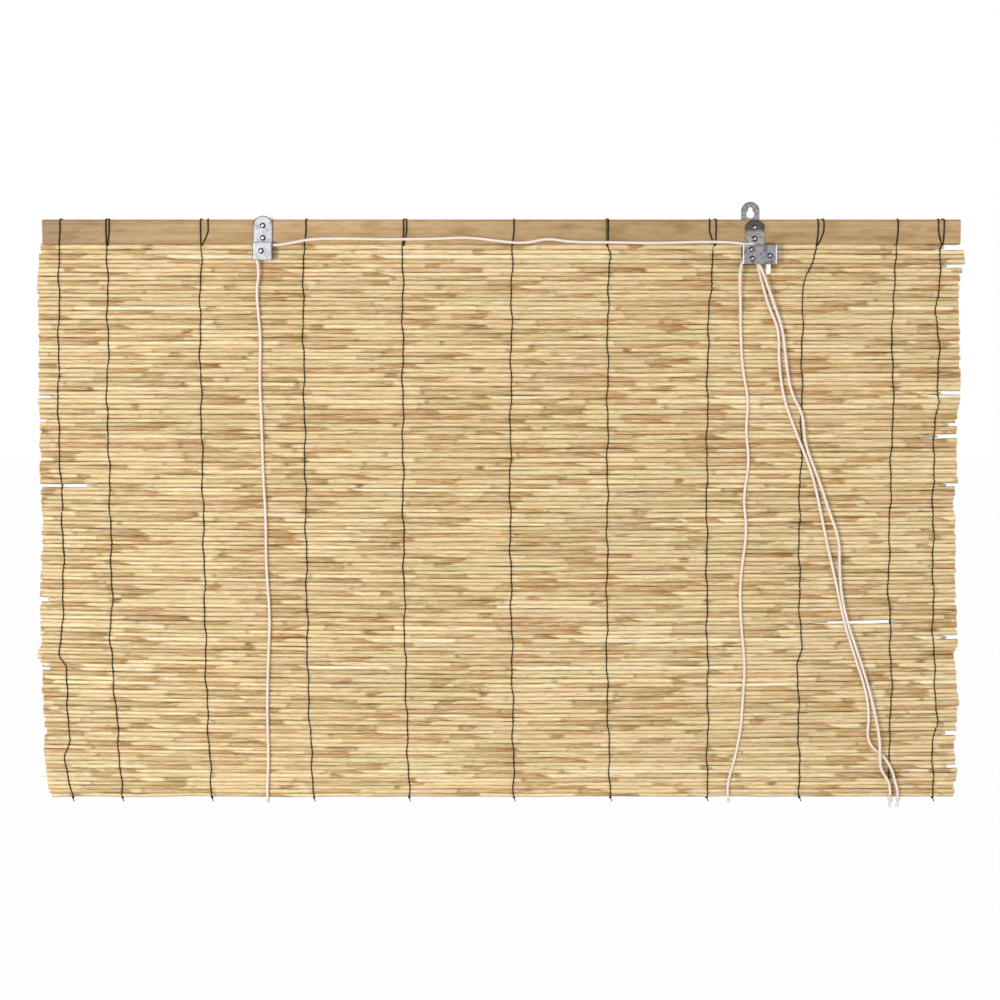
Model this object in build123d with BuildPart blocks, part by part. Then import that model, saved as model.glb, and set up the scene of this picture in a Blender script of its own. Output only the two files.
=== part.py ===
from build123d import *
import math
import os
import random

os.makedirs("parts", exist_ok=True)

# Roll-up blind of bamboo reeds, in its hung pose, in millimetres.
# X runs to the right along the rail, -Y faces the room and Z is up.
# The origin is midway between the two keyhole hangers, on the wall.

# Head rail
rail_length = 1000
rail_height = 27
rail_depth = 8
rail_center_x = -7
rail_top_z = -6.5
rail_edge_radius = 2.4

# Reed mat
mat_width = 1005
mat_height = 610
mat_depth = 4.2
mat_web = 1.7
mat_gap_below_rail = 1.1
reed_rows = 131
reed_raggedness = 2.6
reed_size_spread = 0.22
ragged_step = 0.3
seen_through_slits = 90
slit_height = 0.9
reed_crest_share = 0.44
slit_shortest = 24
slit_longest = 74
slit_edge_margin = 12
slit_spacing = 100

# Binding threads
thread_width = 1.3
thread_thickness = 0.9
thread_clearance = 0.15
thread_slant_height = 2.7
thread_places = [-487, -434, -331, -219, -112, 6, 112, 222, 331, 426, 473]

# Hangers and plates
hanger_spacing = 530
hanger_width = 20
hanger_thickness = 1.5
keyhole_radius = 4.4
keyhole_slot_radius = 2.5
keyhole_slot_rise = 5.2
keyhole_rim = 5.6
plate_width = 21
plate_thickness = 1.2
plate_head_rise_share = 0.62
rivet_radius = 1.5
rivet_head_radius = 3.1
rivet_head_height = 1.1
rivet_head_rim = 0.3
rivet_clearance = 0.05
rail_hole_clearance = 0.4

# Pulleys
cord_diameter = 3
cord_clearance = 0.3
sheave_groove_radius = 4.6
sheave_rim_height = 2.3
sheave_width = 4.6
sheave_rim_width = 0.6
axle_running_clearance = 0.05
side_clearance = 0.3
washer_thickness = 0.5
washer_clearance = 0.15

# Covers
cover_thickness = 1
cover_bend_radius = 1.6
left_cover_width = 21.8
left_cover_height = 19
right_cover_width = 38
right_cover_height = 20.8
cover_backing_inset = 0.8
cover_flange_foot = 0.8
cord_entry_height = 7.5
cord_entry_margin = 1.6

# Brake cam
cam_radius = 10.1
cam_hub_radius = 4.2
cam_tooth_depth = 0.7
cam_teeth = 7
cam_nose_half_angle = 34
cam_tail_width = 4.2
cam_tail_length = 17.6
cam_tail_offset = 1
cam_side_clearance = 0.4
cam_shoulder_angle = 80

# Knots
knot_radius = 3.1
knot_length = 6
knot_tail = 6
anchor_recess_clearance = 0.5
anchor_recess_corner = 1

# Levels along Y, from the wall to the room
cord_radius = cord_diameter / 2
rail_back_y = -hanger_thickness
rail_front_y = rail_back_y - rail_depth
plate_front_y = rail_front_y - plate_thickness
mat_middle_y = (rail_back_y + rail_front_y) / 2
mat_back_y = mat_middle_y + mat_depth / 2
mat_front_y = mat_middle_y - mat_depth / 2
thread_front_y = mat_front_y - thread_clearance - thread_thickness
back_lay_y = mat_back_y + 0.2 + cord_radius
front_lay_y = mat_front_y - 0.5 - cord_radius
pull_lay_y = thread_front_y - 0.5 - cord_radius
back_sheave_y = plate_front_y - side_clearance - sheave_width / 2
sheave_pitch = sheave_width + washer_thickness + 2 * washer_clearance
front_sheave_y = back_sheave_y - sheave_pitch
left_cover_inner_y = back_sheave_y - sheave_width / 2 - side_clearance
right_cover_inner_y = front_sheave_y - sheave_width / 2 - side_clearance

# Levels along Z
rail_bottom_z = rail_top_z - rail_height
mat_top_z = rail_bottom_z - mat_gap_below_rail
mat_bottom_z = mat_top_z - mat_height

# Places of the left hardware, along X and Z
left_hanger_x = -hanger_spacing / 2
left_plate_x = left_hanger_x - 1.5
left_plate_top_z = rail_top_z + 3.8
left_rivets_z = [rail_top_z - 6.8, rail_bottom_z + 6.9]
left_cover_x = left_hanger_x - 1.2
left_cover_top_z = rail_bottom_z + 1.7
left_pulley = (left_hanger_x - 2.7, rail_bottom_z - 7.8)

# Places of the right hardware, along X and Z
right_hanger_x = hanger_spacing / 2
right_plate_x = right_hanger_x + 3.4
right_plate_top_z = rail_top_z - 0.4
right_rivets_z = [rail_top_z - 9, rail_bottom_z + 5.9]
right_cover_x = right_hanger_x + 7.6
right_cover_top_z = rail_bottom_z - 1.9
right_pulley = (right_hanger_x - 2.2, rail_bottom_z - 7)
spacer_place = (right_hanger_x - 0.8, rail_bottom_z - 16.7)
cam_pivot = (right_hanger_x + 18.1, rail_bottom_z - 13.5)

# Anchor knots sit in recesses in the back of the rail
anchor_x = hanger_spacing / 2 - 19
anchor_z = rail_bottom_z + 13.5
anchor_y = rail_back_y - 2.4


def finish(part, name):
    part.label = name
    export_step(part, f"parts/{name}.step")


def front_plane(y):
    """Plane that faces the room at the given Y, with X to the right and Z up."""
    return Plane(origin=(0, y, 0), x_dir=(1, 0, 0), z_dir=(0, -1, 0))


# Head rail: planed lath, eased along its front edges, drilled for the rivets
rivet_holes = [(left_plate_x, z) for z in left_rivets_z]
rivet_holes += [(right_plate_x, z) for z in right_rivets_z]

with BuildPart() as head_rail:
    with BuildSketch(Plane.YZ.offset(rail_center_x - rail_length / 2)):
        with Locations(((rail_back_y + rail_front_y) / 2, (rail_top_z + rail_bottom_z) / 2)):
            Rectangle(rail_depth, rail_height)
    extrude(amount=rail_length)
    front_edges = head_rail.edges().filter_by(Axis.X).group_by(Axis.Y)[0]
    fillet(front_edges, radius=rail_edge_radius)
    end_edges = head_rail.faces().filter_by(Axis.X).edges().group_by(Axis.Y)[0]
    chamfer(end_edges, length=0.6)
    with BuildSketch(front_plane(rail_front_y)):
        with Locations(*rivet_holes):
            Circle(rivet_radius + rail_hole_clearance)
    extrude(amount=-rail_depth, mode=Mode.SUBTRACT)
    anchor_recess_radius = knot_radius + anchor_recess_clearance
    recess_depth = rail_back_y - anchor_y + anchor_recess_radius
    recess_height = knot_length + 4 * anchor_recess_clearance
    groove_depth = rail_back_y - anchor_y + cord_radius + cord_clearance
    with BuildSketch(front_plane(rail_back_y)):
        with Locations((-anchor_x, anchor_z), (anchor_x, anchor_z)):
            RectangleRounded(2 * anchor_recess_radius, recess_height, anchor_recess_corner)
    extrude(amount=recess_depth, mode=Mode.SUBTRACT)
    groove_height = anchor_z - rail_bottom_z
    with BuildSketch(front_plane(rail_back_y)):
        with Locations((-anchor_x, anchor_z), (anchor_x, anchor_z)):
            Rectangle(cord_diameter + 2 * cord_clearance, groove_height, align=(Align.CENTER, Align.MAX))
    extrude(amount=groove_depth, mode=Mode.SUBTRACT)
finish(head_rail.part, "head_rail")

# Reed mat: one wall of ridges, a ridge to each reed, with ragged ends
rng = random.Random(11)
row_weights = [1 + rng.uniform(-reed_size_spread, reed_size_spread) for row in range(reed_rows)]
row_edges = [mat_top_z]
for weight in row_weights:
    row_edges.append(row_edges[-1] - mat_height * weight / sum(row_weights))

mat_left_x = rail_center_x + 1 - mat_width / 2
mat_right_x = mat_left_x + mat_width

# Reeds that stop short at an edge: height below the mat's top, then how much
short_left_reeds = {166: 15, 189: 8, 259: 50, 387: 8, 465: 6}
short_right_reeds = {3: 22, 24: 16, 162: 21, 197: 8, 208: 21, 261: 12, 430: 13, 540: 20}


def shortfall(short_reeds, top, bottom):
    """How far the reed between two heights stops short of the mat's edge."""
    for depth, amount in short_reeds.items():
        if top >= mat_top_z - depth > bottom:
            return amount
    return 0


def to_step(value):
    """Ragged ends fall on whole steps, so that no two differ by a sliver."""
    return ragged_step * round(value / ragged_step)


reeds = []
web_half = mat_web / 2
for row in range(reed_rows):
    top, bottom = row_edges[row], row_edges[row + 1]
    middle = (top + bottom) / 2
    reed_top = top - slit_height / 2
    reed_bottom = bottom + slit_height / 2
    crest_half = reed_crest_share * (reed_top - reed_bottom) / 2
    left = mat_left_x + rng.uniform(0, reed_raggedness) + shortfall(short_left_reeds, top, bottom)
    right = mat_right_x - rng.uniform(0, reed_raggedness) - shortfall(short_right_reeds, top, bottom)
    left, right = to_step(left), to_step(right)
    with BuildPart() as reed:
        with BuildSketch(Plane.YZ.offset(left)):
            with BuildLine():
                Polyline(
                    (mat_middle_y - web_half, top),
                    (mat_middle_y + web_half, top),
                    (mat_middle_y + web_half, reed_top),
                    (mat_back_y, middle + crest_half),
                    (mat_back_y, middle - crest_half),
                    (mat_middle_y + web_half, reed_bottom),
                    (mat_middle_y + web_half, bottom),
                    (mat_middle_y - web_half, bottom),
                    (mat_middle_y - web_half, reed_bottom),
                    (mat_front_y, middle - crest_half),
                    (mat_front_y, middle + crest_half),
                    (mat_middle_y - web_half, reed_top),
                    close=True,
                )
            make_face()
        extrude(amount=right - left)
    reeds.append(reed.part)

# Openings seen in the mat: one stretch of missing reed, and slits between reeds
missing_reed = (355, 424, 413.5)
slits = []
while len(slits) < seen_through_slits:
    row = rng.randrange(1, reed_rows)
    length = rng.uniform(slit_shortest, slit_longest)
    margin = slit_edge_margin + length / 2
    slit_x = rng.uniform(mat_left_x + margin, mat_right_x - margin)
    if all(row_edges[row] != height or abs(slit_x - center_x) > slit_spacing
           for center_x, height, other_length, other_height in slits):
        slits.append((slit_x, row_edges[row], length, slit_height))
gap_start, gap_end, gap_depth = missing_reed
for row in range(reed_rows):
    if row_edges[row] >= mat_top_z - gap_depth > row_edges[row + 1]:
        gap_middle_z = (row_edges[row] + row_edges[row + 1]) / 2
        gap_height = row_edges[row] - row_edges[row + 1] - slit_height
        slits.append(((gap_start + gap_end) / 2, gap_middle_z, gap_end - gap_start, gap_height))

with BuildPart() as reed_mat:
    add(reeds)
    with BuildSketch(front_plane(mat_middle_y)):
        for center_x, center_z, length, height in slits:
            with Locations((center_x, center_z)):
                Rectangle(length, height)
    extrude(amount=mat_depth, both=True, mode=Mode.SUBTRACT)
finish(reed_mat.part, "reed_mat")

# Binding threads: each is a loop round the rail and the mat
for number, place_x in enumerate(thread_places, start=1):
    rail_front_line = rail_front_y - thread_clearance
    rail_back_line = rail_back_y + thread_clearance
    mat_front_line = mat_front_y - thread_clearance
    mat_back_line = mat_back_y + thread_clearance
    inner = [
        (rail_front_line, rail_top_z + thread_clearance),
        (rail_back_line, rail_top_z + thread_clearance),
        (rail_back_line, rail_bottom_z - thread_clearance),
        (mat_back_line, mat_top_z - thread_slant_height),
        (mat_back_line, mat_bottom_z - thread_clearance),
        (mat_front_line, mat_bottom_z - thread_clearance),
        (mat_front_line, mat_top_z - thread_slant_height),
        (rail_front_line, rail_bottom_z - thread_clearance),
    ]
    with BuildPart() as binding_thread:
        with BuildSketch(Plane.YZ.offset(place_x - thread_width / 2)):
            with BuildLine():
                Polyline(*inner, close=True)
            make_face()
            offset(amount=thread_thickness, kind=Kind.ARC)
            with BuildLine():
                Polyline(*inner, close=True)
            make_face(mode=Mode.SUBTRACT)
        extrude(amount=thread_width)
    finish(binding_thread.part, f"binding_thread_{number}")


def hanger_plate(center_x, plate_rivets, plate_x):
    """Steel strip behind the rail, with a keyhole in its round head."""
    head_radius = hanger_width / 2
    with BuildPart() as plate:
        with BuildSketch(front_plane(0)):
            head_z = keyhole_slot_rise + keyhole_slot_radius + keyhole_rim - head_radius
            with Locations((center_x, head_z)):
                Circle(head_radius)
            with Locations((center_x, head_z)):
                Rectangle(hanger_width, head_z - rail_bottom_z, align=(Align.CENTER, Align.MAX))
            with Locations((center_x, 0)):
                Circle(keyhole_radius, mode=Mode.SUBTRACT)
                Rectangle(2 * keyhole_slot_radius, keyhole_slot_rise,
                          align=(Align.CENTER, Align.MIN), mode=Mode.SUBTRACT)
            with Locations((center_x, keyhole_slot_rise)):
                Circle(keyhole_slot_radius, mode=Mode.SUBTRACT)
            with Locations(*[(plate_x, z) for z in plate_rivets]):
                Circle(rivet_radius + rivet_clearance, mode=Mode.SUBTRACT)
        extrude(amount=hanger_thickness)
    return plate.part


finish(hanger_plate(left_hanger_x, left_rivets_z, left_plate_x), "hanger_plate_left")
finish(hanger_plate(right_hanger_x, right_rivets_z, right_plate_x), "hanger_plate_right")


def mounting_plate(center_x, top_z, cover, fixings, rivets_z):
    """Steel strip on the rail's face, widened below into the back of the pulley case."""
    cover_x, cover_top, cover_width, cover_height = cover
    backing_width = cover_width - 2 * cover_thickness - 2 * cover_backing_inset
    backing_bottom = cover_top - cover_height
    shoulder_z = min(rail_bottom_z, cover_top) - cover_backing_inset
    with BuildPart() as plate:
        with BuildSketch(front_plane(rail_front_y)):
            head_radius = plate_width / 2
            head_rise = plate_head_rise_share * head_radius
            with BuildLine():
                Polyline(
                    (center_x - head_radius, top_z - head_rise),
                    (center_x - head_radius, shoulder_z),
                    (cover_x - backing_width / 2, shoulder_z),
                    (cover_x - backing_width / 2, backing_bottom),
                    (cover_x + backing_width / 2, backing_bottom),
                    (cover_x + backing_width / 2, shoulder_z),
                    (center_x + head_radius, shoulder_z),
                    (center_x + head_radius, top_z - head_rise),
                )
                ThreePointArc(
                    (center_x + head_radius, top_z - head_rise),
                    (center_x, top_z),
                    (center_x - head_radius, top_z - head_rise),
                )
            make_face()
            with Locations(*[(center_x, z) for z in rivets_z], *fixings):
                Circle(rivet_radius + rivet_clearance, mode=Mode.SUBTRACT)
        extrude(amount=plate_thickness)
    return plate.part


left_cover = (left_cover_x, left_cover_top_z, left_cover_width, left_cover_height)
right_cover = (right_cover_x, right_cover_top_z, right_cover_width, right_cover_height)
left_fixings = [left_pulley]
right_fixings = [right_pulley, spacer_place, cam_pivot]
left_plate = mounting_plate(left_plate_x, left_plate_top_z, left_cover, left_fixings, left_rivets_z)
right_plate = mounting_plate(right_plate_x, right_plate_top_z, right_cover, right_fixings, right_rivets_z)
finish(left_plate, "mounting_plate_left")
finish(right_plate, "mounting_plate_right")


def domed_rivet(place, back_y, front_y):
    """Rivet along Y whose domed head sits on the front face."""
    dome_height = rivet_head_height - rivet_head_rim
    dome_radius = (rivet_head_radius ** 2 + dome_height ** 2) / (2 * dome_height)
    dome_angle = math.asin(rivet_head_radius / dome_radius)
    dome_middle_y = front_y - rivet_head_height + dome_radius
    half_way_x = dome_radius * math.sin(dome_angle / 2)
    half_way_y = dome_middle_y - dome_radius * math.cos(dome_angle / 2)
    with BuildPart() as rivet:
        with BuildSketch(Plane(origin=(place[0], 0, place[1]), x_dir=(1, 0, 0), z_dir=(0, 0, 1))):
            with BuildLine():
                Polyline(
                    (0, front_y - rivet_head_height),
                    (0, back_y),
                    (rivet_radius, back_y),
                    (rivet_radius, front_y),
                    (rivet_head_radius, front_y),
                    (rivet_head_radius, front_y - rivet_head_rim),
                )
                ThreePointArc(
                    (rivet_head_radius, front_y - rivet_head_rim),
                    (half_way_x, half_way_y),
                    (0, front_y - rivet_head_height),
                )
            make_face()
        revolve(axis=Axis((place[0], 0, place[1]), (0, 1, 0)))
    return rivet.part


def rail_rivets(plate_x, rivets_z):
    """Two rivets that clamp the front plate and the hanger on the rail."""
    with BuildPart() as rivets:
        add([domed_rivet((plate_x, z), 0, plate_front_y) for z in rivets_z])
    return rivets.part


finish(rail_rivets(left_plate_x, left_rivets_z), "rail_rivets_left")
finish(rail_rivets(right_plate_x, right_rivets_z), "rail_rivets_right")


def pressed_cover(cover, inner_y, fixings, left_flange, right_flange):
    """Cover pressed from sheet: a face with two sides bent back to the plate."""
    cover_x, cover_top, width, height = cover
    with BuildPart() as part:
        with BuildSketch(Plane.XY.offset(cover_top - height)):
            with BuildLine():
                Polyline(
                    (cover_x - width / 2, plate_front_y),
                    (cover_x - width / 2, inner_y - cover_thickness),
                    (cover_x + width / 2, inner_y - cover_thickness),
                    (cover_x + width / 2, plate_front_y),
                    (cover_x + width / 2 - cover_thickness, plate_front_y),
                    (cover_x + width / 2 - cover_thickness, inner_y),
                    (cover_x - width / 2 + cover_thickness, inner_y),
                    (cover_x - width / 2 + cover_thickness, plate_front_y),
                    close=True,
                )
            make_face()
        extrude(amount=height)
        bends = part.edges().filter_by(Axis.Z).group_by(Axis.Y)[0]
        fillet(bends, radius=cover_bend_radius)
        for side, (high_z, low_z) in ((-1, left_flange), (1, right_flange)):
            edge_x = cover_x + side * width / 2
            for top_z, bottom_z in ((cover_top, high_z), (low_z, cover_top - height)):
                if top_z > bottom_z:
                    with BuildSketch(front_plane(inner_y)):
                        with Locations((edge_x, (top_z + bottom_z) / 2)):
                            Rectangle(2 * (cover_thickness + cover_backing_inset / 2), top_z - bottom_z)
                    extrude(amount=inner_y - plate_front_y, mode=Mode.SUBTRACT)
        face_edges = part.faces().sort_by(Axis.Y)[0].edges().filter_by(Axis.X)
        fillet(face_edges, radius=0.45 * cover_thickness)
        with BuildSketch(front_plane(inner_y)):
            with Locations(*fixings):
                Circle(rivet_radius + rivet_clearance)
        extrude(amount=cover_thickness, mode=Mode.SUBTRACT)
    return part.part


left_flange_foot_z = left_cover_top_z - left_cover_height + cover_flange_foot
right_flange_foot_z = right_cover_top_z - right_cover_height + cover_flange_foot
left_cord_top = left_pulley[1] + sheave_groove_radius + cord_clearance
right_cord_top = right_pulley[1] + sheave_groove_radius + cord_clearance
left_part = pressed_cover(
    left_cover,
    left_cover_inner_y,
    left_fixings,
    (left_cover_top_z, left_flange_foot_z),
    (left_cord_top - 2 * cord_clearance, left_flange_foot_z),
)
right_part = pressed_cover(
    right_cover,
    right_cover_inner_y,
    right_fixings,
    (right_cord_top - cord_entry_margin, right_pulley[1] - cord_entry_height),
    (right_cover_top_z, right_flange_foot_z),
)
finish(left_part, "pulley_cover_left")
finish(right_part, "lock_cover_right")

# Rivets that carry the pulleys and the cam, and the one that spaces the cover
left_front_y = left_cover_inner_y - cover_thickness
right_front_y = right_cover_inner_y - cover_thickness
finish(domed_rivet(left_pulley, rail_front_y, left_front_y), "pulley_axle_left")
finish(domed_rivet(right_pulley, rail_front_y, right_front_y), "pulley_axle_right")
finish(domed_rivet(spacer_place, rail_front_y, right_front_y), "spacer_rivet_right")
finish(domed_rivet(cam_pivot, rail_front_y, right_front_y), "brake_axle_right")


def sheave(place, middle_y):
    """Grooved wheel that turns on its axle along Y."""
    rim_radius = sheave_groove_radius + sheave_rim_height
    bore_radius = rivet_radius + axle_running_clearance
    half = sheave_width / 2
    with BuildPart() as wheel:
        with BuildSketch(Plane(origin=(place[0], middle_y, place[1]), x_dir=(1, 0, 0), z_dir=(0, 0, 1))):
            with BuildLine():
                Polyline(
                    (rim_radius, -half + sheave_rim_width),
                    (rim_radius, -half),
                    (bore_radius, -half),
                    (bore_radius, half),
                    (rim_radius, half),
                    (rim_radius, half - sheave_rim_width),
                )
                ThreePointArc(
                    (rim_radius, half - sheave_rim_width),
                    (sheave_groove_radius, 0),
                    (rim_radius, -half + sheave_rim_width),
                )
            make_face()
        revolve(axis=Axis((place[0], middle_y, place[1]), (0, 1, 0)))
    return wheel.part


finish(sheave(left_pulley, back_sheave_y), "sheave_left")
finish(sheave(right_pulley, back_sheave_y), "sheave_right_back")
finish(sheave(right_pulley, front_sheave_y), "sheave_right_front")

with BuildPart() as sheave_washer_right:
    washer_front_y = back_sheave_y - sheave_width / 2 - washer_clearance
    with BuildSketch(front_plane(washer_front_y)):
        with Locations(right_pulley):
            Circle(sheave_groove_radius)
            Circle(rivet_radius + rivet_clearance, mode=Mode.SUBTRACT)
    extrude(amount=washer_thickness)
finish(sheave_washer_right.part, "sheave_washer_right")

# Brake cam: toothed nose towards the cords, hub on its axle, tail below the cover
cam_back_y = plate_front_y - cam_side_clearance
cam_depth = cam_back_y - right_cover_inner_y - cam_side_clearance


def cam_point(radius, angle):
    """Point of the cam at an angle from -X, positive downwards."""
    turn = math.radians(180 + angle)
    return (cam_pivot[0] + radius * math.cos(turn), cam_pivot[1] + radius * math.sin(turn))


tooth_points = []
tooth_step = 2 * cam_nose_half_angle / cam_teeth
for tooth in range(cam_teeth):
    start_angle = -cam_nose_half_angle + tooth * tooth_step
    tooth_points.append(cam_point(cam_radius - cam_tooth_depth, start_angle))
    tooth_points.append(cam_point(cam_radius, start_angle + 0.5 * tooth_step))
tooth_points.append(cam_point(cam_radius - cam_tooth_depth, cam_nose_half_angle))

with BuildPart() as brake_cam:
    with BuildSketch(front_plane(cam_back_y)):
        with BuildLine():
            Polyline(
                cam_point(cam_hub_radius, -cam_shoulder_angle),
                *tooth_points,
                cam_point(cam_hub_radius, cam_shoulder_angle),
                close=True,
            )
        make_face()
        with Locations(cam_pivot):
            Circle(cam_hub_radius)
        with Locations((cam_pivot[0] - cam_tail_offset, cam_pivot[1] - cam_tail_length / 2)):
            Rectangle(cam_tail_width, cam_tail_length)
        with Locations((cam_pivot[0] - cam_tail_offset, cam_pivot[1] - cam_tail_length)):
            Circle(cam_tail_width / 2)
        with Locations(cam_pivot):
            Circle(rivet_radius + axle_running_clearance, mode=Mode.SUBTRACT)
    extrude(amount=cam_depth)
finish(brake_cam.part, "brake_cam")

# Lift cords: fixed behind the rail, down the back, round the mat's foot, up the
# front, over their pulleys and down to the pull knots
wrap_radius = cord_clearance + sheave_groove_radius + cord_radius
wrap_step = wrap_radius * math.tan(math.radians(22.5))
foot_radius = (back_lay_y - front_lay_y) / 2
foot_step = foot_radius * math.tan(math.radians(22.5))
foot_middle_y = (back_lay_y + front_lay_y) / 2
foot_z = mat_bottom_z - cord_radius
pull_over_y = pull_lay_y - 1.8
knot_y = mat_front_y - 1 - knot_radius
anchor_end_z = anchor_z - knot_length / 2
knot_top_z = mat_bottom_z + 2.5

left_cord_points = [
    (-anchor_x, anchor_y, anchor_end_z),
    (-anchor_x, anchor_y, anchor_end_z - 3.5),
    (-anchor_x, back_lay_y, anchor_end_z - 10.5),
    (-246.4, back_lay_y, -47),
    (-247.9, back_lay_y, -72),
    (-249.0, back_lay_y, -111),
    (-252.2, back_lay_y, -158),
    (-254.4, back_lay_y, -207),
    (-256.1, back_lay_y, -263),
    (-258.9, back_lay_y, -319),
    (-260.3, back_lay_y, -375),
    (-262.9, back_lay_y, -430),
    (-263.9, back_lay_y, -487),
    (-266.4, back_lay_y, -543),
    (-267.2, back_lay_y, -592),
    (-268.5, back_lay_y, -621),
    (-268.5, back_lay_y, -636),
    (-268.2, back_lay_y, -643.6),
    (-268.2, back_lay_y, foot_z - foot_step),
    (-268.1, foot_middle_y + foot_step, foot_z - foot_radius),
    (-268.0, foot_middle_y - foot_step, foot_z - foot_radius),
    (-267.9, front_lay_y, foot_z - foot_step),
    (-267.8, front_lay_y, -643.6),
    (-268.0, front_lay_y, -636),
    (-267.2, front_lay_y, -621),
    (-266.2, front_lay_y, -594),
    (-267.3, front_lay_y, -548),
    (-265.6, front_lay_y, -492),
    (-262.8, front_lay_y, -440),
    (-266.9, front_lay_y, -385),
    (-266.4, front_lay_y, -334),
    (-269.2, front_lay_y, -281),
    (-270.0, front_lay_y, -230),
    (-272.0, front_lay_y, -179),
    (-270.0, front_lay_y, -135),
    (-272.7, front_lay_y - 0.8, -105),
    (-273.9, front_lay_y - 1.8, -83),
    (-271.0, front_lay_y - 3, -67),
    (-271.9, back_sheave_y, -54.5),
    (-273.5, back_sheave_y, -47),
    (left_pulley[0] - wrap_radius, back_sheave_y, left_pulley[1] + wrap_step),
    (left_pulley[0] - wrap_step, back_sheave_y, left_pulley[1] + wrap_radius),
    (-261, back_sheave_y, -35.0),
    (-245, back_sheave_y, -34.3),
    (-228, back_sheave_y, -30.8),
    (-210, back_sheave_y, -27.8),
    (-178, back_sheave_y, -27.7),
    (-128, back_sheave_y, -28.5),
    (-77, back_sheave_y, -28.0),
    (-42, back_sheave_y, -26.2),
    (-6, back_sheave_y, -30.9),
    (19, back_sheave_y, -33.0),
    (43, back_sheave_y, -27.2),
    (68, back_sheave_y, -31.6),
    (114, back_sheave_y, -31.7),
    (160, back_sheave_y, -32.7),
    (205, back_sheave_y, -31.4),
    (233, back_sheave_y, -31.4),
    (248, back_sheave_y, -32.3),
    (257, back_sheave_y, -33.7),
    (right_pulley[0] + wrap_step, back_sheave_y, right_pulley[1] + wrap_radius),
    (right_pulley[0] + wrap_radius, back_sheave_y, right_pulley[1] + wrap_step),
    (269.6, back_sheave_y, -45),
    (271.4, back_sheave_y + 0.3, -55),
    (276.0, back_sheave_y + 0.9, -72.5),
    (284.2, pull_lay_y - 0.7, -101),
    (296.3, pull_lay_y, -126),
    (296.0, pull_lay_y, -157),
    (301.2, pull_lay_y, -199),
    (316.1, pull_lay_y, -238),
    (334.2, pull_lay_y, -282),
    (343.2, pull_lay_y, -319),
    (352.4, pull_lay_y, -363),
    (364.0, pull_lay_y, -410),
    (372.0, pull_lay_y, -448),
    (384.4, pull_lay_y, -486),
    (397.2, pull_lay_y, -523),
    (401.6, pull_lay_y, -553),
    (399.2, pull_lay_y, -575),
    (404.8, pull_lay_y, -588),
    (418.0, pull_lay_y, -597),
    (427.4, pull_lay_y, -612),
    (431.6, pull_lay_y - 0.3, -627),
    (434.4, knot_y, -637),
    (434.4, knot_y, knot_top_z),
]

right_cord_points = [
    (anchor_x, anchor_y, anchor_end_z),
    (anchor_x, anchor_y, anchor_end_z - 3.5),
    (anchor_x, back_lay_y, anchor_end_z - 10.5),
    (246.4, back_lay_y, -47),
    (246.0, back_lay_y, -72),
    (247.4, back_lay_y, -111),
    (246.2, back_lay_y, -158),
    (248.1, back_lay_y, -207),
    (247.9, back_lay_y, -263),
    (249.2, back_lay_y, -319),
    (248.5, back_lay_y, -375),
    (249.4, back_lay_y, -430),
    (248.2, back_lay_y, -487),
    (248.6, back_lay_y, -543),
    (247.4, back_lay_y, -592),
    (247.6, back_lay_y, -621),
    (247.2, back_lay_y, -636),
    (246.8, back_lay_y, -643.6),
    (246.9, back_lay_y, foot_z - foot_step),
    (246.7, foot_middle_y + foot_step, foot_z - foot_radius),
    (246.5, foot_middle_y - foot_step, foot_z - foot_radius),
    (246.3, front_lay_y, foot_z - foot_step),
    (245.6, front_lay_y, -643.6),
    (244.9, front_lay_y, -636),
    (246.6, front_lay_y, -622),
    (252.6, front_lay_y, -602),
    (259.6, front_lay_y, -566),
    (261.0, front_lay_y, -533),
    (263.4, front_lay_y, -497),
    (257.0, front_lay_y, -440),
    (257.0, front_lay_y, -394),
    (264.2, front_lay_y, -346),
    (258.8, front_lay_y, -311),
    (265.8, front_lay_y, -270),
    (260.8, front_lay_y, -236),
    (264.2, front_lay_y, -203),
    (257.4, front_lay_y, -172),
    (254.5, front_lay_y, -137),
    (253.6, front_lay_y - 2.2, -96),
    (251.8, front_lay_y - 5.9, -70),
    (252.4, front_sheave_y + 0.8, -58),
    (right_pulley[0] - wrap_radius, front_sheave_y, right_pulley[1] - 8.2),
    (right_pulley[0] - wrap_radius, front_sheave_y, right_pulley[1] + wrap_step),
    (right_pulley[0] - wrap_step, front_sheave_y, right_pulley[1] + wrap_radius),
    (right_pulley[0] + wrap_step, front_sheave_y, right_pulley[1] + wrap_radius),
    (right_pulley[0] + wrap_radius, front_sheave_y, right_pulley[1] + wrap_step),
    (269.6, front_sheave_y, -45),
    (271.8, front_sheave_y + 0.4, -54.5),
    (278.9, front_sheave_y + 2, -70),
    (289.6, pull_over_y - 1.6, -98),
    (300.2, pull_over_y, -126),
    (304.4, pull_over_y, -165),
    (309.7, pull_over_y, -195),
    (323.4, pull_over_y, -218),
    (325.4, pull_over_y, -251),
    (341.0, pull_over_y, -288),
    (353.1, pull_over_y, -324),
    (365.2, pull_over_y, -356),
    (365.5, pull_over_y, -385),
    (367.8, pull_over_y, -416),
    (375.9, pull_over_y, -450),
    (388.4, pull_over_y, -485),
    (400.9, pull_over_y, -523),
    (409.4, pull_over_y, -558),
    (412.6, pull_over_y - 2.6, -580),
    (413.0, pull_over_y - 2.6, -600),
    (414.8, pull_over_y, -613),
    (423.6, pull_over_y, -625),
    (425.6, knot_y - 1, -635),
    (425.6, knot_y - 1, knot_top_z),
]


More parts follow.
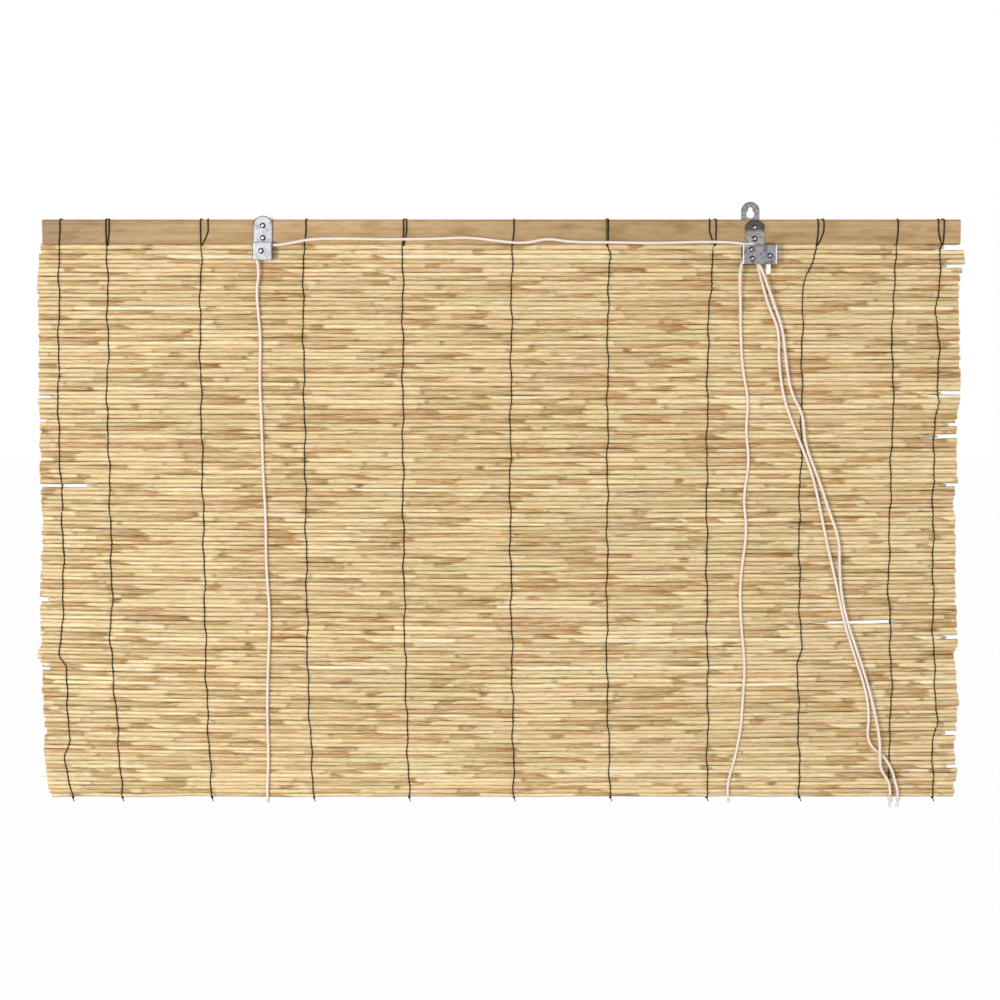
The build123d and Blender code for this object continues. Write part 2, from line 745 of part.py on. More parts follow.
def corner_radii(points):
    """Arc at each corner: 0.45 of the shorter run over the tangent of half the turn."""
    radii = []
    for before, corner, after in zip(points, points[1:], points[2:]):
        run_in = Vector(*corner) - Vector(*before)
        run_out = Vector(*after) - Vector(*corner)
        half_turn = math.radians(run_in.get_angle(run_out)) / 2
        radii.append(0.45 * min(run_in.length, run_out.length) / math.tan(half_turn))
    return radii


def cord(points, name):
    """Round tube along straight runs that arcs join."""
    radii = corner_radii(points)
    with BuildPart() as tube:
        with BuildLine() as route:
            FilletPolyline(*points, radius=radii)
        path = route.wire()
        with BuildSketch(Plane(origin=path @ 0, z_dir=path % 0)):
            Circle(cord_radius)
        sweep(path=path)
    print(name, "arc radii", sorted(round(radius, 1) for radius in radii)[:8])
    section = math.pi * cord_radius ** 2
    print(name, "length", round(path.length, 1), "volume ratio",
          round(tube.part.volume / (section * path.length), 4))
    finish(tube.part, name)


cord(left_cord_points, "lift_cord_left")
cord(right_cord_points, "lift_cord_right")


def knot(place, name, tail):
    """Plain knot on a cord, with the cord's tail below or above it."""
    with BuildPart() as part:
        with BuildSketch(Plane(origin=place)):
            Circle(knot_radius)
        extrude(amount=-knot_length if tail < 0 else knot_length)
        fillet(part.edges().filter_by(GeomType.CIRCLE), radius=0.42 * knot_radius)
        if tail < 0:
            with BuildSketch(Plane(origin=(place[0], place[1], place[2] - knot_length))):
                Circle(cord_radius)
            extrude(amount=-knot_tail)
    finish(part.part, name)


knot(left_cord_points[-1], "pull_knot_left", -1)
knot(right_cord_points[-1], "pull_knot_right", -1)
knot(left_cord_points[0], "anchor_knot_left", 1)
knot(right_cord_points[0], "anchor_knot_right", 1)
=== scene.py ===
import math
import random

import bpy
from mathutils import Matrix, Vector


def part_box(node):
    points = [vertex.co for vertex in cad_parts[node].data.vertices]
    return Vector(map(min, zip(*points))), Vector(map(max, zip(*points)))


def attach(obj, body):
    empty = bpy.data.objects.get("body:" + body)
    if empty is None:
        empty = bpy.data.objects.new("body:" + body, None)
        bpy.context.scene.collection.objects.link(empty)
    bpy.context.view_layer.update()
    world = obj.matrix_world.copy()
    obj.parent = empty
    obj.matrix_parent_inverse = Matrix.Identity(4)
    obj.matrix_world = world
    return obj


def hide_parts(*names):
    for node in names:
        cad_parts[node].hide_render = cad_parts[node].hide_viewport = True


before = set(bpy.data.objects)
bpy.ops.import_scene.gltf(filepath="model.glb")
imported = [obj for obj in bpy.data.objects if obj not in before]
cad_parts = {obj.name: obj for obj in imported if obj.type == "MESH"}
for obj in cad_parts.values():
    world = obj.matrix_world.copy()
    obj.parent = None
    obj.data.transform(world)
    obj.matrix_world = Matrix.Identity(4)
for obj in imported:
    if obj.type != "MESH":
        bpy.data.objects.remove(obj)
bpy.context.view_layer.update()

# Bamboo roll-up blind, hung flat: X along the rail, -Y to the room, Z up.
# Sizes below are in millimetres; MM turns them into the frame's metres.
MM = 0.001

# Head rail, from its solid
rail_low, rail_high = (Vector(corner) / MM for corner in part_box("head_rail"))
rail_front_y, rail_back_y = rail_low.y, rail_high.y
rail_bottom_z, rail_top_z = rail_low.z, rail_high.z

# Reed mat, from its solid
mat_low, mat_high = (Vector(corner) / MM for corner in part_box("reed_mat"))
mat_top_z, mat_bottom_z = mat_high.z, mat_low.z
mat_height = mat_top_z - mat_bottom_z
mat_middle_y = (mat_low.y + mat_high.y) / 2
mat_middle_x = (mat_low.x + mat_high.x) / 2
mat_half_width = (mat_high.x - mat_low.x) / 2
mat_front_y, mat_back_y = mat_low.y, mat_high.y

# Reeds
reed_rows = 131
reed_size_spread = 0.22
reed_raggedness = 2.6
reed_overlap = 1.2
reed_wander = 1.5
reed_tilt = 0.4
reed_swelling = 0.3
reed_shift = 0.45
rail_lap = 0.4
tip_length = 0
notch_tip_length = 9
gap_tip_length = 24
long_shortfall = 20
reed_depth_share = 0.8
reed_taper = 0.10
reed_sag = 4.5
guide_step = 24
rows_per_piece = 66

# Where the mat's sides lie: depth below its top, then X
left_side = [(0, -508.5), (27, -513), (38, -515), (60, -513), (135, -513.5), (165, -516), (205, -514),
             (255, -515), (285, -513), (330, -514.5), (389, -517), (440, -518), (452, -521), (462, -516),
             (500, -517), (540, -514), (560, -518), (596, -513), (610, -510)]
right_side = [(0, 498), (14, 499), (32, 493), (55, 492), (108, 495), (175, 496), (190, 492.5), (260, 495),
              (275, 491), (310, 494), (380, 495), (439, 499), (452, 495), (498, 501), (525, 500),
              (560, 497),
              (582, 501), (596, 498), (610, 498)]

# Reeds that stop short at a side: depth below the mat's top, then how much
short_left_reeds = {166: 15, 189: 8, 263: 50, 387: 8, 465: 6}
short_right_reeds = {3: 22, 24: 16, 162: 21, 197: 8, 208: 21, 261: 12, 430: 13, 540: 10, 576: 9}

# Stretch with no reed: from X, to X, depth below the mat's top
missing_reed = (355, 424, 413.5)

# Loose splinters at the lower left: depth, X of the tip, X of the root, radius
splinters = [(585.5, -522, -478, 0.7), (591, -519, -474, 0.6)]

# Binding threads: on the rail, then down the mat as depth below its top and X
strand_radius = 0.62
strand_press = 0.1
strand_crossing = 1.3
rail_strand_share = 1.2
wide_strand_share = 1.65
wide_strand_thread = 7
thread_on_rail = [-487.3, -437.3, -334.4, -219.7, -113.5, 6.6, 107.4, 219.5, 337.5, 424.4, 468.5]
second_wrap_on_rail = {2: -433.8, 3: -326.3, 5: -110.3, 7: 109.2, 8: 226.4, 9: 343.5, 11: 474.5}
thread_routes = [
    [(0, -489), (190, -494), (254, -492), (333, -491), (389, -492), (450, -497), (461, -491),
     (515, -489), (543, -488), (563, -494), (610, -486)],
    [(0, -437), (135, -438), (168, -441), (206, -439), (385, -438), (433, -441), (518, -435),
     (610, -430.5)],
    [(0, -334.4), (92, -337), (278, -336), (482, -335), (610, -330.4)],
    [(0, -222), (59, -224), (256, -223), (478, -222), (610, -216.5)],
    [(0, -114.8), (278, -115.5), (445, -114), (610, -110)],
    [(0, 4.5), (278, 2.4), (610, 7)],
    [(0, 107.6), (10, 112.4), (48, 109.3), (467, 110), (610, 114.7)],
    [(0, 225), (18, 223), (92, 219), (245, 219), (389, 220.4), (501, 222.6), (610, 222.4)],
    [(0, 336), (16, 332.6), (31, 325), (59, 322), (256, 322.7), (267, 321), (389, 323), (439, 325.7),
     (458, 322), (610, 326)],
    [(0, 423), (32, 423.4), (59, 420.6), (135, 421), (168, 424.7), (190, 422), (372, 421), (411, 423.6),
     (501, 427), (546, 424.5), (610, 427.4)],
    [(0, 472.5), (32, 471.4), (70, 468), (108, 472), (168, 472), (190, 469), (267, 468.5), (433, 471.7),
     (523, 477.5), (546, 473.5), (610, 474.5)],
]

# Cords and their levels along Y
cord_diameter = 3
cord_radius = cord_diameter / 2
cord_clearance = 0.3
hanger_spacing = 530
back_lay_y = mat_back_y + 0.2 + cord_radius
front_lay_y = mat_front_y - 0.5 - cord_radius
pull_lay_y = mat_front_y - 1.55 - cord_radius
pull_over_y = pull_lay_y - 1.8
back_sheave_y = -13.3
front_sheave_y = -18.7
anchor_x = hanger_spacing / 2 - 19
anchor_y = rail_back_y - 2.4
anchor_end_z = rail_bottom_z + 10.5
left_pulley = (-hanger_spacing / 2 - 2.7, rail_bottom_z - 7.8)
right_pulley = (hanger_spacing / 2 - 2.2, rail_bottom_z - 7)
wrap_radius = 4.6 + cord_clearance + cord_radius
wrap_step = wrap_radius * math.tan(math.radians(22.5))
foot_radius = (back_lay_y - front_lay_y) / 2
foot_step = foot_radius * math.tan(math.radians(22.5))
foot_middle_y = (back_lay_y + front_lay_y) / 2
foot_z = mat_bottom_z - cord_radius
knot_radius = 3.1
knot_length = 6
knot_tail = 6
knot_y = mat_front_y - 1 - knot_radius
knot_top_z = mat_bottom_z + 2.5

left_cord_points = [
    (-anchor_x, anchor_y, anchor_end_z),
    (-anchor_x, anchor_y, anchor_end_z - 3.5),
    (-anchor_x, back_lay_y, anchor_end_z - 10.5),
    (-246.4, back_lay_y, -47),
    (-247.9, back_lay_y, -72),
    (-249.0, back_lay_y, -111),
    (-252.2, back_lay_y, -158),
    (-254.4, back_lay_y, -207),
    (-256.1, back_lay_y, -263),
    (-258.9, back_lay_y, -319),
    (-260.3, back_lay_y, -375),
    (-262.9, back_lay_y, -430),
    (-263.9, back_lay_y, -487),
    (-266.4, back_lay_y, -543),
    (-267.2, back_lay_y, -592),
    (-268.5, back_lay_y, -621),
    (-268.5, back_lay_y, -636),
    (-268.2, back_lay_y, -643.6),
    (-268.2, back_lay_y, foot_z - foot_step),
    (-268.1, foot_middle_y + foot_step, foot_z - foot_radius),
    (-268.0, foot_middle_y - foot_step, foot_z - foot_radius),
    (-267.9, front_lay_y, foot_z - foot_step),
    (-267.8, front_lay_y, -643.6),
    (-268.0, front_lay_y, -636),
    (-267.2, front_lay_y, -621),
    (-266.2, front_lay_y, -594),
    (-267.3, front_lay_y, -548),
    (-265.6, front_lay_y, -492),
    (-262.8, front_lay_y, -440),
    (-266.9, front_lay_y, -385),
    (-266.4, front_lay_y, -334),
    (-269.2, front_lay_y, -281),
    (-270.0, front_lay_y, -230),
    (-272.0, front_lay_y, -179),
    (-270.0, front_lay_y, -135),
    (-272.7, front_lay_y - 0.8, -105),
    (-273.9, front_lay_y - 1.8, -83),
    (-271.0, front_lay_y - 3, -67),
    (-271.9, back_sheave_y, -54.5),
    (-273.5, back_sheave_y, -47),
    (left_pulley[0] - wrap_radius, back_sheave_y, left_pulley[1] + wrap_step),
    (left_pulley[0] - wrap_step, back_sheave_y, left_pulley[1] + wrap_radius),
    (-261, back_sheave_y, -35.0),
    (-245, back_sheave_y, -34.3),
    (-228, back_sheave_y, -30.8),
    (-210, back_sheave_y, -27.8),
    (-178, back_sheave_y, -27.7),
    (-128, back_sheave_y, -28.5),
    (-77, back_sheave_y, -28.0),
    (-42, back_sheave_y, -26.2),
    (-6, back_sheave_y, -30.9),
    (19, back_sheave_y, -33.0),
    (43, back_sheave_y, -27.2),
    (68, back_sheave_y, -31.6),
    (114, back_sheave_y, -31.7),
    (160, back_sheave_y, -32.7),
    (205, back_sheave_y, -31.4),
    (233, back_sheave_y, -31.4),
    (248, back_sheave_y, -32.3),
    (257, back_sheave_y, -33.7),
    (right_pulley[0] + wrap_step, back_sheave_y, right_pulley[1] + wrap_radius),
    (right_pulley[0] + wrap_radius, back_sheave_y, right_pulley[1] + wrap_step),
    (269.6, back_sheave_y, -45),
    (271.4, back_sheave_y + 0.3, -55),
    (276.0, back_sheave_y + 0.9, -72.5),
    (284.2, pull_lay_y - 0.7, -101),
    (296.3, pull_lay_y, -126),
    (296.0, pull_lay_y, -157),
    (301.2, pull_lay_y, -199),
    (316.1, pull_lay_y, -238),
    (334.2, pull_lay_y, -282),
    (343.2, pull_lay_y, -319),
    (352.4, pull_lay_y, -363),
    (364.0, pull_lay_y, -410),
    (372.0, pull_lay_y, -448),
    (384.4, pull_lay_y, -486),
    (397.2, pull_lay_y, -523),
    (401.6, pull_lay_y, -553),
    (399.2, pull_lay_y, -575),
    (404.8, pull_lay_y, -588),
    (418.0, pull_lay_y, -597),
    (427.4, pull_lay_y, -612),
    (431.6, pull_lay_y - 0.3, -627),
    (434.4, knot_y, -637),
    (434.4, knot_y, knot_top_z),
]

right_cord_points = [
    (anchor_x, anchor_y, anchor_end_z),
    (anchor_x, anchor_y, anchor_end_z - 3.5),
    (anchor_x, back_lay_y, anchor_end_z - 10.5),
    (246.4, back_lay_y, -47),
    (246.0, back_lay_y, -72),
    (247.4, back_lay_y, -111),
    (246.2, back_lay_y, -158),
    (248.1, back_lay_y, -207),
    (247.9, back_lay_y, -263),
    (249.2, back_lay_y, -319),
    (248.5, back_lay_y, -375),
    (249.4, back_lay_y, -430),
    (248.2, back_lay_y, -487),
    (248.6, back_lay_y, -543),
    (247.4, back_lay_y, -592),
    (247.6, back_lay_y, -621),
    (247.2, back_lay_y, -636),
    (246.8, back_lay_y, -643.6),
    (246.9, back_lay_y, foot_z - foot_step),
    (246.7, foot_middle_y + foot_step, foot_z - foot_radius),
    (246.5, foot_middle_y - foot_step, foot_z - foot_radius),
    (246.3, front_lay_y, foot_z - foot_step),
    (245.6, front_lay_y, -643.6),
    (244.9, front_lay_y, -636),
    (246.6, front_lay_y, -622),
    (252.6, front_lay_y, -602),
    (259.6, front_lay_y, -566),
    (261.0, front_lay_y, -533),
    (263.4, front_lay_y, -497),
    (257.0, front_lay_y, -440),
    (257.0, front_lay_y, -394),
    (264.2, front_lay_y, -346),
    (258.8, front_lay_y, -311),
    (265.8, front_lay_y, -270),
    (260.8, front_lay_y, -236),
    (264.2, front_lay_y, -203),
    (257.4, front_lay_y, -172),
    (254.5, front_lay_y, -137),
    (253.6, front_lay_y - 2.2, -96),
    (251.8, front_lay_y - 5.9, -70),
    (252.4, front_sheave_y + 0.8, -58),
    (right_pulley[0] - wrap_radius, front_sheave_y, right_pulley[1] - 8.2),
    (right_pulley[0] - wrap_radius, front_sheave_y, right_pulley[1] + wrap_step),
    (right_pulley[0] - wrap_step, front_sheave_y, right_pulley[1] + wrap_radius),
    (right_pulley[0] + wrap_step, front_sheave_y, right_pulley[1] + wrap_radius),
    (right_pulley[0] + wrap_radius, front_sheave_y, right_pulley[1] + wrap_step),
    (269.6, front_sheave_y, -45),
    (271.8, front_sheave_y + 0.4, -54.5),
    (278.9, front_sheave_y + 2, -70),
    (289.6, pull_over_y - 1.6, -98),
    (300.2, pull_over_y, -126),
    (304.4, pull_over_y, -165),
    (309.7, pull_over_y, -195),
    (323.4, pull_over_y, -218),
    (325.4, pull_over_y, -251),
    (341.0, pull_over_y, -288),
    (353.1, pull_over_y, -324),
    (365.2, pull_over_y, -356),
    (365.5, pull_over_y, -385),
    (367.8, pull_over_y, -416),
    (375.9, pull_over_y, -450),
    (388.4, pull_over_y, -485),
    (400.9, pull_over_y, -523),
    (409.4, pull_over_y, -558),
    (412.6, pull_over_y - 2.6, -580),
    (413.0, pull_over_y - 2.6, -600),
    (414.8, pull_over_y, -613),
    (423.6, pull_over_y, -625),
    (425.6, knot_y - 1, -635),
    (425.6, knot_y - 1, knot_top_z),
]


# Colours and node wiring

def ink(red, green, blue):
    """Colour given in screen values from 0 to 255, as the shader wants it."""
    linear = []
    for value in (red, green, blue):
        share = value / 255
        linear.append(share / 12.92 if share <= 0.04045 else ((share + 0.055) / 1.055) ** 2.4)
    return (*linear, 1)


def add_node(tree, kind, inputs=None, **settings):
    """A node with its settings, its inputs filled by values or joined to sockets."""
    made = tree.nodes.new(kind)
    for name, value in settings.items():
        setattr(made, name, value)
    for key, value in (inputs or {}).items():
        if isinstance(value, bpy.types.NodeSocket):
            tree.links.new(value, made.inputs[key])
        else:
            made.inputs[key].default_value = value
    return made


def maths(tree, operation, first, second=0.0, third=0.0, clamp=False):
    inputs = {0: first, 1: second, 2: third}
    return add_node(tree, "ShaderNodeMath", inputs, operation=operation, use_clamp=clamp).outputs[0]


def mix_colour(tree, share, first, second, blend="MIX"):
    made = add_node(tree, "ShaderNodeMix", {0: share, 6: first, 7: second}, data_type="RGBA",
                    blend_type=blend)
    return made.outputs[2]


def spread(tree, value, low, high, new_low=0.0, new_high=1.0):
    inputs = {"Value": value, "From Min": low, "From Max": high, "To Min": new_low, "To Max": new_high}
    return add_node(tree, "ShaderNodeMapRange", inputs).outputs["Result"]


def colour_steps(tree, value, steps):
    """Colour ramp from (place, colour) pairs."""
    made = add_node(tree, "ShaderNodeValToRGB", {"Fac": value})
    ramp = made.color_ramp
    while len(ramp.elements) < len(steps):
        ramp.elements.new(0.5)
    for element, (place, colour) in zip(ramp.elements, steps):
        element.position = place
        element.color = colour
    return made.outputs["Color"]


def stretched(tree, vector, across, along, depth):
    """Coordinates scaled along X, Y and Z in turn."""
    made = add_node(tree, "ShaderNodeMapping", {"Vector": vector, "Scale": (across, along, depth)})
    return made.outputs["Vector"]


def new_group(name, inputs, outputs):
    """Shader group with named sockets: (name, kind, default) in, (name, kind) out."""
    group = bpy.data.node_groups.new(name, "ShaderNodeTree")
    for socket_name, kind, default in inputs:
        socket = group.interface.new_socket(name=socket_name, in_out="INPUT", socket_type=kind)
        if default is not None:
            socket.default_value = default
    for socket_name, kind in outputs:
        group.interface.new_socket(name=socket_name, in_out="OUTPUT", socket_type=kind)
    entry = group.nodes.new("NodeGroupInput")
    leave = group.nodes.new("NodeGroupOutput")
    return group, entry.outputs, leave.inputs


def place_group(tree, group, inputs):
    return add_node(tree, "ShaderNodeGroup", inputs, node_tree=group).outputs


def cane_grain_group():
    """Fine fibres that run along X, with broader streaks among them."""
    group, given, out = new_group(
        "cane_grain",
        [("Vector", "NodeSocketVector", None), ("Fineness", "NodeSocketFloat", 1.0),
         ("Shift", "NodeSocketFloat", 0.0)],
        [("Fibres", "NodeSocketFloat"), ("Streaks", "NodeSocketFloat")],
    )
    moved = add_node(group, "ShaderNodeVectorMath", {0: given["Vector"]}, operation="ADD")
    shift = add_node(group, "ShaderNodeCombineXYZ", {"X": given["Shift"], "Z": given["Shift"]})
    group.links.new(shift.outputs[0], moved.inputs[1])
    fine = stretched(group, moved.outputs[0], 14, 1700, 1700)
    broad = stretched(group, moved.outputs[0], 5, 260, 260)
    fibres = add_node(group, "ShaderNodeTexNoise",
                      {"Vector": fine, "Scale": given["Fineness"], "Detail": 3.0, "Roughness": 0.6})
    streaks = add_node(group, "ShaderNodeTexNoise",
                       {"Vector": broad, "Scale": given["Fineness"], "Detail": 2.0, "Roughness": 0.5})
    group.links.new(fibres.outputs[0], out["Fibres"])
    group.links.new(streaks.outputs[0], out["Streaks"])
    return group


def zinc_group():
    """Crystal patches and dull blotches of galvanised steel."""
    group, given, out = new_group(
        "zinc_skin",
        [("Vector", "NodeSocketVector", None), ("Patch", "NodeSocketFloat", 420.0),
         ("Blotch", "NodeSocketFloat", 120.0)],
        [("Tone", "NodeSocketFloat"), ("Relief", "NodeSocketFloat")],
    )
    patches = add_node(group, "ShaderNodeTexVoronoi", {"Vector": given["Vector"], "Scale": given["Patch"]})
    blotches = add_node(group, "ShaderNodeTexNoise",
                        {"Vector": given["Vector"], "Scale": given["Blotch"], "Detail": 4.0})
    patch_tone = add_node(group, "ShaderNodeSeparateColor", {"Color": patches.outputs["Color"]}).outputs[0]
    mixed = maths(group, "MULTIPLY_ADD", patch_tone, 0.35,
                  maths(group, "MULTIPLY", blotches.outputs[0], 0.65))
    group.links.new(mixed, out["Tone"])
    group.links.new(blotches.outputs[0], out["Relief"])
    return group


cane_grain = cane_grain_group()
zinc_skin = zinc_group()


def new_material(name, **shader_values):
    """Material with its shader's fixed values set on the shader's own sockets."""
    material = bpy.data.materials.new(name)
    material.use_nodes = True
    tree = material.node_tree
    shader = tree.nodes["Principled BSDF"]
    for key, value in shader_values.items():
        shader.inputs[key.replace("_", " ").title().replace("Ior", "IOR")].default_value = value
    return material, tree, shader


def object_coords(tree):
    return add_node(tree, "ShaderNodeTexCoord").outputs["Object"]


def own_value(tree, name):
    return add_node(tree, "ShaderNodeAttribute", attribute_name=name).outputs["Fac"]


def raise_surface(tree, shader, height, strength, distance):
    bump = add_node(tree, "ShaderNodeBump", {"Height": height, "Strength": strength, "Distance": distance})
    tree.links.new(bump.outputs["Normal"], shader.inputs["Normal"])


def reed_material():
    """Split reed: bare straw stretches, brown leaf sheaths and dark joints."""
    material, tree, shader = new_material("reed_straw", specular_ior_level=0.35)
    coords = object_coords(tree)
    place = add_node(tree, "ShaderNodeSeparateXYZ", {0: coords}).outputs
    seed = own_value(tree, "reed_seed")

    ragged = add_node(tree, "ShaderNodeTexNoise",
                      {"Vector": stretched(tree, coords, 30, 500, 500), "Detail": 2.0})
    ragged_edge = maths(tree, "MULTIPLY", ragged.outputs[0], 0.16)
    along = maths(tree, "MULTIPLY_ADD", place["X"], 7.5, maths(tree, "MULTIPLY", seed, 91.7))
    along = maths(tree, "ADD", along, ragged_edge)
    internode = add_node(tree, "ShaderNodeTexVoronoi", {"W": along, "Scale": 1.0}, voronoi_dimensions="1D")
    joint = add_node(tree, "ShaderNodeTexVoronoi", {"W": along, "Scale": 1.0},
                     voronoi_dimensions="1D", feature="DISTANCE_TO_EDGE")
    luck = add_node(tree, "ShaderNodeSeparateColor", {"Color": internode.outputs["Color"]}).outputs
    from_middle = maths(tree, "SUBTRACT", along, internode.outputs["W"])

    grain = place_group(tree, cane_grain, {"Vector": coords, "Shift": seed})

    bare_tone = maths(tree, "ADD", maths(tree, "MULTIPLY", seed, 0.55),
                      maths(tree, "MULTIPLY", luck[2], 0.45))
    bare = colour_steps(tree, bare_tone, [
        (0.0, ink(255, 241, 200)), (0.22, ink(250, 229, 180)), (0.42, ink(242, 213, 158)),
        (0.6, ink(229, 212, 156)), (0.78, ink(238, 207, 160)), (1.0, ink(208, 170, 112)),
    ])
    sheath = colour_steps(tree, luck[1], [
        (0.0, ink(150, 104, 50)), (0.25, ink(190, 142, 80)), (0.5, ink(176, 146, 84)),
        (0.75, ink(204, 158, 104)), (1.0, ink(160, 118, 60)),
    ])
    sheath_end = spread(tree, luck[0], 0, 1, -0.62, 0.34)
    turned = add_node(tree, "ShaderNodeTexCoord").outputs["Normal"]
    turned = add_node(tree, "ShaderNodeSeparateXYZ", {0: turned}).outputs["Z"]
    slant = maths(tree, "MULTIPLY", turned, spread(tree, luck[2], 0, 1, -0.09, 0.09))
    from_tip = maths(tree, "ADD", maths(tree, "SUBTRACT", sheath_end, from_middle), slant)
    on_sheath = spread(tree, from_tip, -0.006, 0.006)
    fading = spread(tree, from_tip, 0.0, 0.42, 1.0, 0.4)
    sheath_share = maths(tree, "MULTIPLY", on_sheath, fading)
    colour = mix_colour(tree, sheath_share, bare, sheath)

    streak_share = spread(tree, grain["Streaks"], 0.5, 0.75, 0.0, 0.3)
    colour = mix_colour(tree, streak_share, colour, ink(158, 112, 56))
    fibre_shade = spread(tree, grain["Fibres"], 0.3, 0.75, 0.84, 1.08)
    shade_colour = add_node(tree, "ShaderNodeCombineColor",
                            {0: fibre_shade, 1: fibre_shade, 2: fibre_shade}).outputs[0]
    colour = mix_colour(tree, 1.0, colour, shade_colour, "MULTIPLY")
    dashes = add_node(tree, "ShaderNodeTexNoise",
                      {"Vector": stretched(tree, coords, 11, 520, 520), "Detail": 2.0})
    dash_share = spread(tree, dashes.outputs[0], 0.61, 0.65, 0.0, 0.8)
    colour = mix_colour(tree, dash_share, colour, ink(120, 76, 22))
    # Pale cream streaks laid by noise: partly pale fibres, partly painted highlights.
    pale_streak_and_highlight_share = spread(tree, dashes.outputs[0], 0.41, 0.37, 0.0, 0.75)
    colour = mix_colour(tree, pale_streak_and_highlight_share, colour, ink(255, 243, 216))
    # Painted shade: each reed darker brown on its underside, where its normal points down.
    painted_underside_shade = spread(tree, turned, -0.05, -0.85, 0.0, 0.62)
    colour = mix_colour(tree, painted_underside_shade, colour, ink(146, 98, 38))
    joint_share = spread(tree, joint.outputs["Distance"], 0.003, 0.015, 0.85, 0.0)
    joint_share = maths(tree, "MULTIPLY", joint_share, spread(tree, luck[1], 0.3, 0.5))
    colour = mix_colour(tree, joint_share, colour, ink(96, 66, 30))
    # Painted shade in the creases between reeds: dark brown on the reeds' steep top and bottom faces, its
    # strength varied by noise.
    lines = add_node(tree, "ShaderNodeTexNoise",
                     {"Vector": stretched(tree, coords, 9, 150, 150), "Detail": 2.0})
    crease_shade_strength = spread(tree, lines.outputs[0], 0.42, 0.56, 0.25, 1.0)
    painted_crease_shade = spread(tree, own_value(tree, "painted_crease_shade"), 0.58, 0.9, 0.0, 0.95)
    painted_crease_shade = maths(tree, "MULTIPLY", painted_crease_shade, crease_shade_strength)
    colour = mix_colour(tree, painted_crease_shade, colour, ink(60, 36, 10))
    tree.links.new(colour, shader.inputs["Base Color"])
    tree.links.new(spread(tree, grain["Fibres"], 0.3, 0.7, 0.42, 0.62), shader.inputs["Roughness"])
    raise_surface(tree, shader, grain["Fibres"], 0.35, 0.25 * MM)
    return material


def rail_material():
    """Planed bamboo lath: tan, with fine straight fibres and broad streaks, its tone changing along its
    length and darker along its top and bottom edges.
    """
    material, tree, shader = new_material("rail_bamboo", specular_ior_level=0.35)
    coords = object_coords(tree)
    grain = place_group(tree, cane_grain, {"Vector": coords, "Fineness": 0.8})
    lengths = add_node(tree, "ShaderNodeTexNoise",
                       {"Vector": stretched(tree, coords, 6, 20, 20), "Detail": 3.0})
    colour = colour_steps(tree, lengths.outputs[0], [
        (0.32, ink(186, 148, 96)), (0.46, ink(205, 170, 120)), (0.56, ink(216, 182, 134)),
        (0.7, ink(200, 164, 118)),
    ])
    colour = mix_colour(tree, spread(tree, grain["Streaks"], 0.45, 0.75, 0.0, 0.5), colour,
                        ink(160, 116, 66))
    fibre_shade = spread(tree, grain["Fibres"], 0.3, 0.75, 0.86, 1.06)
    shade_colour = add_node(tree, "ShaderNodeCombineColor",
                            {0: fibre_shade, 1: fibre_shade, 2: fibre_shade}).outputs[0]
    colour = mix_colour(tree, 1.0, colour, shade_colour, "MULTIPLY")
    place = add_node(tree, "ShaderNodeSeparateXYZ", {0: coords}).outputs
    length_share = spread(tree, place["X"], rail_low.x * MM, rail_high.x * MM)
    shade = colour_steps(tree, length_share, [
        (0.0, ink(196, 196, 196)), (0.13, ink(227, 227, 227)), (0.35, ink(238, 238, 238)),
        (0.67, ink(209, 209, 209)), (0.88, ink(232, 232, 232)), (1.0, ink(230, 230, 230)),
    ])
    colour = mix_colour(tree, 1.0, colour, shade, "MULTIPLY")
    height = place["Z"]
    from_edge = maths(tree, "ABSOLUTE",
                      maths(tree, "SUBTRACT", height, (rail_top_z + rail_bottom_z) / 2 * MM))
    edge_share = spread(tree, from_edge, 11.6 * MM, 13.4 * MM, 0.0, 0.45)
    colour = mix_colour(tree, edge_share, colour, ink(120, 84, 44))
    tree.links.new(colour, shader.inputs["Base Color"])
    tree.links.new(spread(tree, grain["Fibres"], 0.3, 0.7, 0.4, 0.6), shader.inputs["Roughness"])
    raise_surface(tree, shader, grain["Fibres"], 0.3, 0.3 * MM)
    return material


def twine_material():
    """Dark green twisted twine, dusty olive where it catches the light."""
    material, tree, shader = new_material("green_twine", roughness=0.8, specular_ior_level=0.2)
    coords = object_coords(tree)
    fibres = add_node(tree, "ShaderNodeTexNoise",
                      {"Vector": stretched(tree, coords, 1400, 1400, 900), "Detail": 3.0})
    colour = colour_steps(tree, fibres.outputs[0], [
        (0.3, ink(22, 26, 8)), (0.55, ink(42, 45, 18)), (0.75, ink(78, 76, 38)),
    ])
    thickness = own_value(tree, "thickness")
    colour = mix_colour(tree, spread(tree, thickness, 1.05, 1.18, 0.0, 0.6), colour, ink(34, 30, 16))
    colour = mix_colour(tree, spread(tree, thickness, 1.4, 1.6, 0.0, 0.85), colour, ink(112, 102, 58))
    tree.links.new(colour, shader.inputs["Base Color"])
    raise_surface(tree, shader, fibres.outputs[0], 0.6, 0.3 * MM)
    return material


def drawn_lines(tree, place, colour, lines):
    """Narrow painted shadow and highlight lines where a plate bends or ends: (axis, where, half width,
    colour).
    """
    for axis, where, half_width, line_colour in lines:
        off = maths(tree, "ABSOLUTE", maths(tree, "SUBTRACT", place[axis], where * MM))
        share = spread(tree, off, 0.4 * half_width * MM, half_width * MM, 0.8, 0.0)
        colour = mix_colour(tree, share, colour, line_colour)
    return colour


def rounded_top(node):
    """Middle and radius of a plate's round top end, from its solid."""
    low, high = (Vector(corner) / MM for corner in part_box(node))
    radius = (high.x - low.x) / 2
    return (low.x + high.x) / 2, high.z - radius, radius


